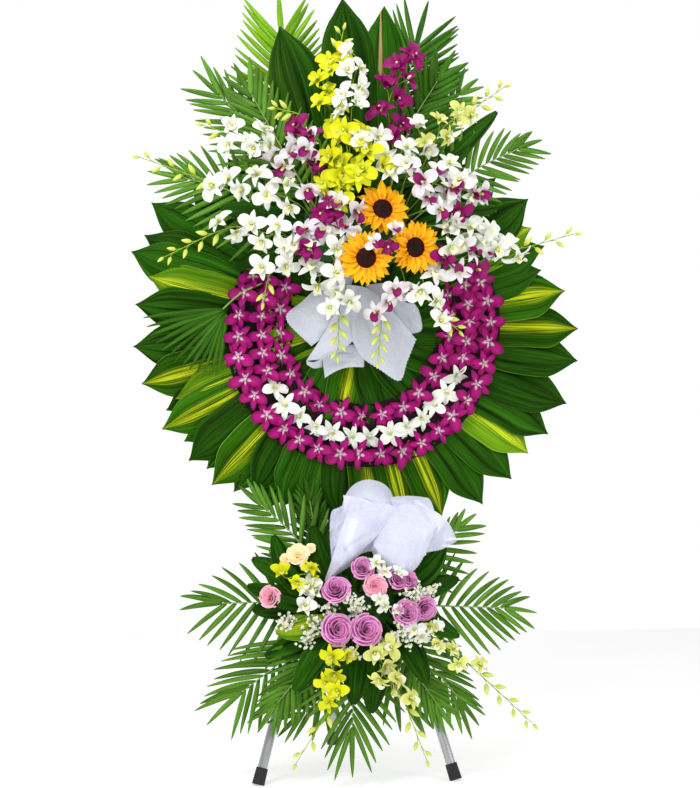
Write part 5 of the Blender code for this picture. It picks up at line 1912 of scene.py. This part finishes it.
@dataclass
class RoseBunch:
    """Roses on stems that meet in the foam."""

    name: str
    heads: tuple[RoseHead, ...]
    foot: Point
    solid: bool = True
    stem_r: float = 0.0026
    # Each whorl of petals: its radius, its count and its rim's height, by the head's radius.
    whorls: tuple[tuple[float, int, float], ...] = (
        (0.08, 2, 0.6), (0.19, 3, 0.68), (0.34, 3, 0.64), (0.51, 4, 0.5), (0.69, 4, 0.27), (0.86, 5, -0.06),
    )
    ruffled_whorls: tuple[tuple[float, int, float], ...] = (
        (0.08, 3, 0.4), (0.2, 4, 0.44), (0.32, 5, 0.42), (0.44, 6, 0.38), (0.57, 7, 0.31), (0.7, 8, 0.22),
        (0.82, 8, 0.06),
    )
    rows: int = 12
    columns: int = 13

    def build(self) -> None:
        """Makes the bunch's heads, sepals and stems."""
        shapes = []
        for i, head in enumerate(self.heads):
            wander = default_rng(1900 + i + int(head.centre[2]))
            centre, radius = metres(head.centre), metres(head.radius)
            facing = unit(np.array((centre[0] * 1.2, -1.0, 0.25 + (centre[2] - 0.4) * 0.8)))
            facing = unit(facing + wander.normal(0, 0.1, 3))
            turn = towards(facing, UP)
            parts = [*self.head(head, wander), *self.sepals(radius)]
            shapes.append(gather(parts).moved(turn, centre))
            neck = centre - facing * radius * 0.9
            stem = flow([self.foot, neck - facing * 0.02, neck], 14)
            shapes.append(tube(stem, self.stem_r, 7, 3))
        finishes = (MAUVE_ROSE, PINK_ROSE, PEACH_ROSE, LEAF_STALK)
        piece(self.name, gather(shapes), finishes, (self.name,) if self.solid else ())

    def head(self, head: RoseHead, wander: Generator) -> list[Shape]:
        """Makes a head's petals, rolled tight in the middle and opening outwards.

        Args:
            head: The head's sizes.
            wander: Its source of variation.

        Returns:
            The petals, around the origin and opening along +Z.
        """
        petals = []
        radius = metres(head.radius)
        v = np.linspace(0, 1, self.rows)[:, None]
        u = np.linspace(-1, 1, self.columns)[None, :]
        whorls = self.ruffled_whorls if head.ruffled else self.whorls
        turn = wander.uniform(0, math.tau)
        for share, count, height in whorls:
            turn += 2.4
            for i in range(count):
                centre = turn + math.tau * (i + wander.uniform(-0.1, 0.1)) / count
                span = math.pi / count * (1.75 if count < 4 else 1.45)
                reach = radius * share * wander.uniform(0.95, 1.05)
                foot, top = -radius * 0.62, radius * (height + wander.uniform(-0.03, 0.03))
                # A petal stands up, leans out over its last third, and rolls back along its rim.
                out = reach * (0.45 + 0.55 * np.sin(np.minimum(1.0, v * 1.25) * math.pi / 2))
                out = out + radius * (0.05 + 0.15 * share) * v**4 - radius * 0.08 * u
                edge = np.abs(u) ** 3
                rise = foot + (top - foot) * v * (1 - 0.2 * edge) - radius * (0.06 + 0.16 * share) * v**9
                rise = rise + radius * 0.05 * np.sin(u * 3.5 + i * 2 + turn) * v**3
                angle = centre + u * span * (0.5 + 0.5 * np.sqrt(v)) * (1 - 0.1 * v**6)
                grid = np.stack(np.broadcast_arrays(out * np.cos(angle), out * np.sin(angle), rise), -1)
                petals.append(surface(grid, head.kind, wander.uniform(0, 1)))
        return petals

    def sepals(self, radius: float) -> list[Shape]:
        """Makes the five green sepals under a head.

        Args:
            radius: The head's radius.

        Returns:
            The sepals.
        """
        sepals = []
        share, across = steps(8, 5)
        for i in range(5):
            turn = math.tau * i / 5
            out = spoke(turn, TOP)
            spine = out * (radius * (0.1 + 0.75 * share))[:, None]
            spine = spine - UP * (radius * (0.72 - 0.3 * share**2))[:, None]
            half = radius * 0.16 * swell(share, 0.3, 0.9)
            lift = 0.2 * half[:, None] * across**2
            sepals.append(surface(blade(spine, UP, half, lift, across), 3))
        return sepals


ROSE_BUNCHES = (
    RoseBunch("rose_bunch_left", (RoseHead((-57, -285, 360), 35), RoseHead((6, -290, 360), 34),
        RoseHead((-59, -270, 448), 31)), (-0.03, -0.175, 0.4)),
    RoseBunch("rose_bunch_right", (RoseHead((99, -275, 395), 30), RoseHead((141, -266, 400), 27),
        RoseHead((3, -255, 493), 26), RoseHead((30, -262, 450), 27, 1, True)), (0.055, -0.175, 0.405)),
    RoseBunch("spray_roses", (RoseHead((-203, -215, 426), 24, 1), RoseHead((-138, -200, 520), 24, 2),
        RoseHead((-167, -200, 511), 12, 2), RoseHead((-108, -196, 532), 11, 2),
        RoseHead((84, -250, 466), 22), RoseHead((106, -246, 466), 21)), (-0.01, -0.15, 0.4), solid=False),
)


@dataclass
class Gypsophila:
    """Sprigs of gypsophila between the roses: tiny white blooms on thread-thin green branches."""

    # Where each sprig's blooms are, in millimetres.
    places: tuple[Point, ...] = (
        (-26, -262, 420), (-15, -255, 400), (-165, -215, 376), (-127, -235, 331), (-71, -250, 405),
        (157, -235, 440), (140, -245, 430), (120, -250, 432), (74, -262, 342), (108, -262, 331),
        (-26, -275, 305), (-100, -255, 372), (30, -262, 330), (-117, -245, 345), (80, -265, 362),
        (111, -262, 432), (-166, -235, 366), (-3, -262, 412),
    )
    foot: Point = (0.0, -0.175, 0.385)
    blooms: int = 30  # to a sprig
    spread: float = 0.0093
    bloom_r: Flat = (0.0028, 0.0046)
    stem_r: float = 0.0007

    def build(self) -> None:
        """Makes every sprig in one piece."""
        wander = default_rng(2100)
        bloom = self.bloom()
        shapes = []
        for place in self.places:
            heart = metres(place)
            stem = flow([self.foot, (heart + self.foot) / 2 + UP * 0.02, heart + FRONT * 0.004], 12)
            shapes.append(tube(stem, self.stem_r, 5, 1))
            for _ in range(self.blooms):
                away = wander.normal(0, self.spread, 3) * (1, 0.6, 1)
                spot = heart + away + FRONT * 0.006
                front = unit(FRONT + away * 25)
                size = wander.uniform(*self.bloom_r)
                shapes.append(bloom.moved(towards(front, UP), spot, size, wander.random()))
                branch = flow([stem[-2], (stem[-1] + spot) / 2, spot], 4)
                shapes.append(tube(branch, self.stem_r / 2, 4, 1))
        piece("gypsophila", gather(shapes), (GYPSOPHILA, LEAF_STALK))

    def bloom(self) -> Shape:
        """Makes one little double bloom of radius 1: two whorls of petals that cup upwards.

        Returns:
            The bloom.
        """
        share, across = steps(4, 3)
        petals = []
        for whorl, rise in enumerate((0.25, 0.75)):
            for i in range(5):
                turn = math.tau * (i + 0.5 * whorl) / 5
                out = spoke(turn, TOP)
                spine = (out * math.cos(rise) + UP * math.sin(rise)) * (share * (1 - 0.25 * whorl))[:, None]
                half = 0.42 * swell(share, 0.5, 0.4)
                lift = 0.2 * half[:, None] * across**2
                petals.append(surface(blade(spine, UP, half, lift, across)))
        return gather(petals)


# ---------------------------------------------------------------- wraps and filler leaves


@dataclass(frozen=True)
class Fold:
    """One fold of a wrap: the cloth between two edges, with a swell in the middle.

    Attributes:
        gathered: The edge that is held.
        free: The edge that hangs free.
        swell: Which way and how far its middle bulges.
        creases: How deep its soft creases are.
    """

    gathered: tuple[Point, ...]
    free: tuple[Point, ...]
    swell: Point = (0, -10, 0)
    creases: float = 1.6


@dataclass
class Wrap:
    """A nonwoven wrap, cut with pinking shears, gathered in the middle and folded into panels.

    Attributes:
        flat: The width and length of the cloth before it was folded. Not used.
        foam: The block that it is pinned to.
        picks: Where each wooden pick that holds it ends.
        pink: The depth of the zigzag that the pinking shears leave.
    """

    name: str
    finish: NonwovenFinish
    flat: Flat
    folds: tuple[Fold, ...]
    foam: str
    picks: tuple[Point, ...]
    pink: float = 0.0022
    pick_r: float = 0.0017
    rows: int = 26
    columns: int = 62

    def build(self) -> None:
        panels = [self.panel(fold, i) for i, fold in enumerate(self.folds)]
        wrap = piece(self.name, gather(panels), (self.finish,), (self.name,))
        picks = [tube(flow([foot_in(self.foam, top), top], 8), self.pick_r, 8) for top in self.picks]
        piece(f"{self.name}_picks", gather(picks), (PINE,))

    def panel(self, fold: Fold, number: int) -> Shape:
        """Makes one fold.

        Args:
            fold: Its edges and its swell.
            number: Its own number.

        Returns:
            The panel of cloth.
        """
        wander = default_rng(2300 + number)
        held, free = (flow(metres(edge), self.columns) for edge in (fold.gathered, fold.free))
        s = np.linspace(0, 1, self.rows)[:, None, None]
        grid = held * (1 - s) + free * s + metres(fold.swell) * np.sin(math.pi * s)
        u = np.linspace(0, 1, self.columns)[None, :]
        run = np.linspace(0, 1, self.rows)[:, None]
        crease = np.zeros((self.rows, self.columns))
        for _ in range(7):
            across, lean, phase = wander.uniform(7, 26), wander.uniform(-11, 11), wander.uniform(0, math.tau)
            crease = crease + (1 - 2 * np.abs(np.sin(u * across / 2 + run * lean / 2 + phase))) / across
        grid[..., 1] += crease * metres(fold.creases) * 14 * np.sin(math.pi * np.clip(run * 0.8 + 0.1, 0, 1))
        zigzag = self.pink * (np.arange(self.columns) % 2)[:, None]
        grid[-1] += unit(free - held) * zigzag
        return surface(grid, 0, wander.uniform(0, 1))


UPPER_WRAP = Wrap(
    "upper_paper",
    LAVENDER_WRAP,
    (0.25, 0.24),
    (
        Fold(((0, -152, 1160), (-16, -154, 1110), (-30, -150, 1060), (-58, -145, 1020)), ((-70, -138, 1136),
            (-118, -130, 1090), (-156, -126, 1049), (-99, -126, 987)), (0, -6, 0)),
        Fold(((-26, -160, 1125), (-50, -160, 1062), (-67, -156, 1026), (-113, -148, 953)), ((8, -164, 1120),
            (2, -166, 1050), (-12, -164, 996), (-79, -152, 956)), (0, -10, 0)),
        Fold(((-113, -148, 953), (-96, -146, 950), (-78, -150, 958)), ((-110, -140, 948), (-94, -134, 937),
            (-74, -134, 940)), (0, 4, -6), 0.4),
        Fold(((-78, -150, 962), (-74, -144, 940), (-70, -141, 914)), ((16, -152, 990), (18, -148, 965),
            (18, -144, 938)), (0, 20, 10), 0.6),
        Fold(((-20, -166, 1125), (6, -168, 1122), (28, -166, 1115), (50, -160, 1100)), ((-10, -162, 998),
            (16, -154, 960), (55, -146, 934), (102, -138, 909), (120, -140, 955), (139, -143, 1003)),
            (0, -8, 0)),
        Fold(((20, -152, 1125), (60, -148, 1130), (100, -146, 1128)), ((90, -142, 1013), (148, -134, 1021),
            (153, -131, 1046), (147, -130, 1072)), (0, -8, 0)),
    ),
    "upper_foam",
    ((-0.02, -0.147, 1.075), (0.03, -0.149, 1.07)),
)

LOWER_WRAP = Wrap(
    "lower_bow",
    WHITE_WRAP,
    (0.32, 0.3),
    (
        # The upright fold on the left.
        Fold(((-60, -185, 500), (-64, -185, 560), (-61, -185, 610), (-45, -186, 622)), ((-40, -204, 500),
            (-30, -206, 560), (-18, -206, 620), (-6, -204, 640)), (0, 10, 0)),
        # The top loop.
        Fold(((-40, -196, 590), (-34, -196, 640), (-12, -194, 673), (21, -192, 685), (56, -193, 676),
            (76, -196, 652), (78, -200, 615)), ((-30, -200, 580), (-22, -214, 600), (-4, -220, 612),
            (18, -222, 616), (42, -220, 612), (60, -214, 604), (70, -206, 600)), (0, -22, 0)),
        # The crease across it.
        Fold(((-38, -220, 652), (-2, -232, 646), (36, -234, 632), (76, -224, 618)), ((-34, -214, 600),
            (0, -226, 600), (30, -228, 600), (62, -222, 600)), (0, -4, 0)),
        # The back, which joins the loops.
        Fold(((10, -190, 644), (60, -192, 642), (110, -196, 636), (150, -205, 624)), ((-20, -185, 500),
            (40, -178, 490), (90, -180, 490), (140, -188, 510)), (0, 6, 0)),
        # The long fold that runs down to the left, over the roses.
        Fold(((-79, -214, 460), (-60, -226, 522), (-40, -232, 585), (-14, -230, 628), (35, -224, 642)),
            ((-70, -208, 461), (-45, -214, 479), (-20, -222, 497), (6, -228, 532), (50, -232, 574),
            (96, -228, 618)), (0, -14, 0)),
        # The big loop on the right.
        Fold(((30, -212, 548), (52, -226, 590), (82, -230, 626), (124, -228, 628), (156, -226, 600)),
            ((26, -208, 530), (46, -226, 492), (90, -238, 474), (128, -238, 494), (163, -232, 560)),
            (0, -26, 0)),
        # The wing beyond it.
        Fold(((140, -216, 620), (175, -206, 612), (206, -196, 585), (226, -190, 548)), ((130, -212, 510),
            (152, -206, 521), (190, -198, 528), (224, -190, 544)), (0, -6, 0)),
        # The flap at the top right.
        Fold(((66, -206, 646), (117, -198, 648), (160, -192, 643)), ((76, -222, 618), (120, -219, 618),
            (172, -206, 610)), (0, -4, 4), 0.8),
    ),
    "lower_foam",
    ((-0.005, -0.172, 0.57), (0.07, -0.17, 0.56)),
)


@dataclass(frozen=True)
class FillerLeaf:
    """One short leaf tucked in around the lower flowers: its foot, a point on the way and its tip."""

    route: tuple[Point, Point, Point]
    width: float
    tone: Tone = Tone.DARK


@dataclass
class FillerLeaves:
    """Short broad leaves that close the gaps between the flowers and the palm fronds."""

    name: str
    leaves: tuple[FillerLeaf, ...]

    def build(self) -> None:
        """Makes every filler leaf in one piece."""
        shapes = [self.leaf(leaf, i) for i, leaf in enumerate(self.leaves)]
        finishes = (DARK_LEAF, STRIPED_LEAF, LIME_LEAF, STRAW_LEAF)
        piece(self.name, gather(shapes), finishes, (), LEAF_THICKNESS)

    def leaf(self, leaf: FillerLeaf, number: int) -> Shape:
        """Makes one filler leaf, folded a little along its middle.

        Args:
            leaf: Its route, width and tone.
            number: Its own number.

        Returns:
            The leaf.
        """
        wander = default_rng(2500 + number)
        share, across = steps(20, 13)
        spine = flow(metres(leaf.route), 20)
        half = metres(leaf.width) / 2 * swell(share, 0.55, 0.62)
        pleats = 0.001 * np.cos(across * 4 * math.pi + wander.uniform(0, 6))
        lift = pleats * (1 - share[:, None]) - 0.16 * half[:, None] * np.abs(across)
        grid = blade(spine, FRONT + UP * 0.5, half, lift, across)
        return surface(grid, leaf.tone.value, wander.uniform(0, 1))


UPPER_FILLERS = FillerLeaves(
    "upper_filler_leaves",
    (
        FillerLeaf(((90, -135, 1262), (220, -122, 1420), (336, -100, 1533)), 55),
        FillerLeaf(((80, -140, 1260), (180, -132, 1380), (267, -120, 1450)), 60),
        FillerLeaf(((90, -132, 1250), (220, -130, 1300), (335, -118, 1310)), 70),
        FillerLeaf(((-90, -132, 1250), (-200, -130, 1290), (-305, -118, 1300)), 70),
        FillerLeaf(((-90, -134, 1230), (-180, -138, 1200), (-270, -126, 1170)), 65),
        FillerLeaf(((50, -125, 1300), (60, -118, 1600), (65, -94, 1758)), 10, Tone.STRAW),
    ),
)
LOWER_FILLERS = FillerLeaves(
    "filler_leaves",
    (
        FillerLeaf(((-60, -200, 400), (-150, -200, 470), (-190, -170, 560)), 60),
        FillerLeaf(((-60, -200, 390), (-150, -215, 420), (-250, -190, 450)), 55),
        FillerLeaf(((-50, -200, 385), (-125, -235, 365), (-190, -225, 350)), 70, Tone.LIME),
        FillerLeaf(((-40, -200, 360), (-100, -245, 300), (-150, -240, 220)), 60),
        FillerLeaf(((0, -200, 350), (-10, -255, 280), (-20, -262, 190)), 65),
        FillerLeaf(((20, -200, 350), (30, -255, 270), (20, -262, 170)), 65),
        FillerLeaf(((-45, -225, 450), (-20, -245, 410), (12, -252, 360)), 55),
        FillerLeaf(((60, -225, 450), (45, -245, 410), (30, -252, 360)), 50),
        FillerLeaf(((50, -200, 360), (110, -245, 310), (150, -245, 230)), 60),
        FillerLeaf(((60, -200, 380), (150, -225, 370), (230, -200, 330)), 55),
        FillerLeaf(((60, -200, 400), (150, -215, 440), (230, -190, 460)), 55),
        FillerLeaf(((60, -200, 420), (150, -205, 480), (200, -180, 530)), 60),
        FillerLeaf(((0, -190, 430), (10, -195, 480), (20, -170, 560)), 70),
        FillerLeaf(((-30, -190, 430), (-80, -195, 490), (-100, -160, 580)), 65),
        FillerLeaf(((-70, -180, 400), (-160, -170, 400), (-235, -150, 390)), 65),
        FillerLeaf(((-70, -170, 420), (-160, -160, 470), (-235, -130, 505)), 60),
        FillerLeaf(((-60, -185, 370), (-140, -195, 320), (-210, -180, 290)), 60),
        FillerLeaf(((-30, -170, 420), (-35, -172, 480), (-40, -166, 540)), 60),
    )
)


# ---------------------------------------------------------------- the whole arrangement


def main() -> None:
    """Loads the frame and dresses the arrangement, piece by piece."""
    logging.basicConfig(level=logging.INFO, format="%(name)s: %(message)s")
    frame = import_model()
    Studio().build()
    Stand().build(frame["nodes"])
    LeafDisc().build()
    PalmFronds().build()
    BroadLeaves().build()
    Garland().build()
    OrchidSprays("upper_foam", (0.02, 0.03, 1.24), UPPER_SPRAYS).build()
    OrchidSprays("lower_foam", (0.0, -0.05, 0.4), LOWER_SPRAYS, seed=1100).build()
    for flower in (
        Sunflower("sunflower_upper", (0.043, -0.272, 1.286), (0.1, -1.0, 0.25), (0.0, -0.15, 1.245)),
        Sunflower("sunflower_left", (0.004, -0.296, 1.177), (-0.2, -1.0, -0.1), (0.0, -0.15, 1.215)),
        Sunflower("sunflower_right", (0.114, -0.28, 1.202), (0.3, -1.0, 0.0), (0.055, -0.15, 1.215)),
    ):
        flower.build()
    for bunch in ROSE_BUNCHES:
        bunch.build()
    Gypsophila().build()
    UPPER_WRAP.build()
    LOWER_WRAP.build()
    UPPER_FILLERS.build()
    LOWER_FILLERS.build()


if __name__ == "__main__":
    main()
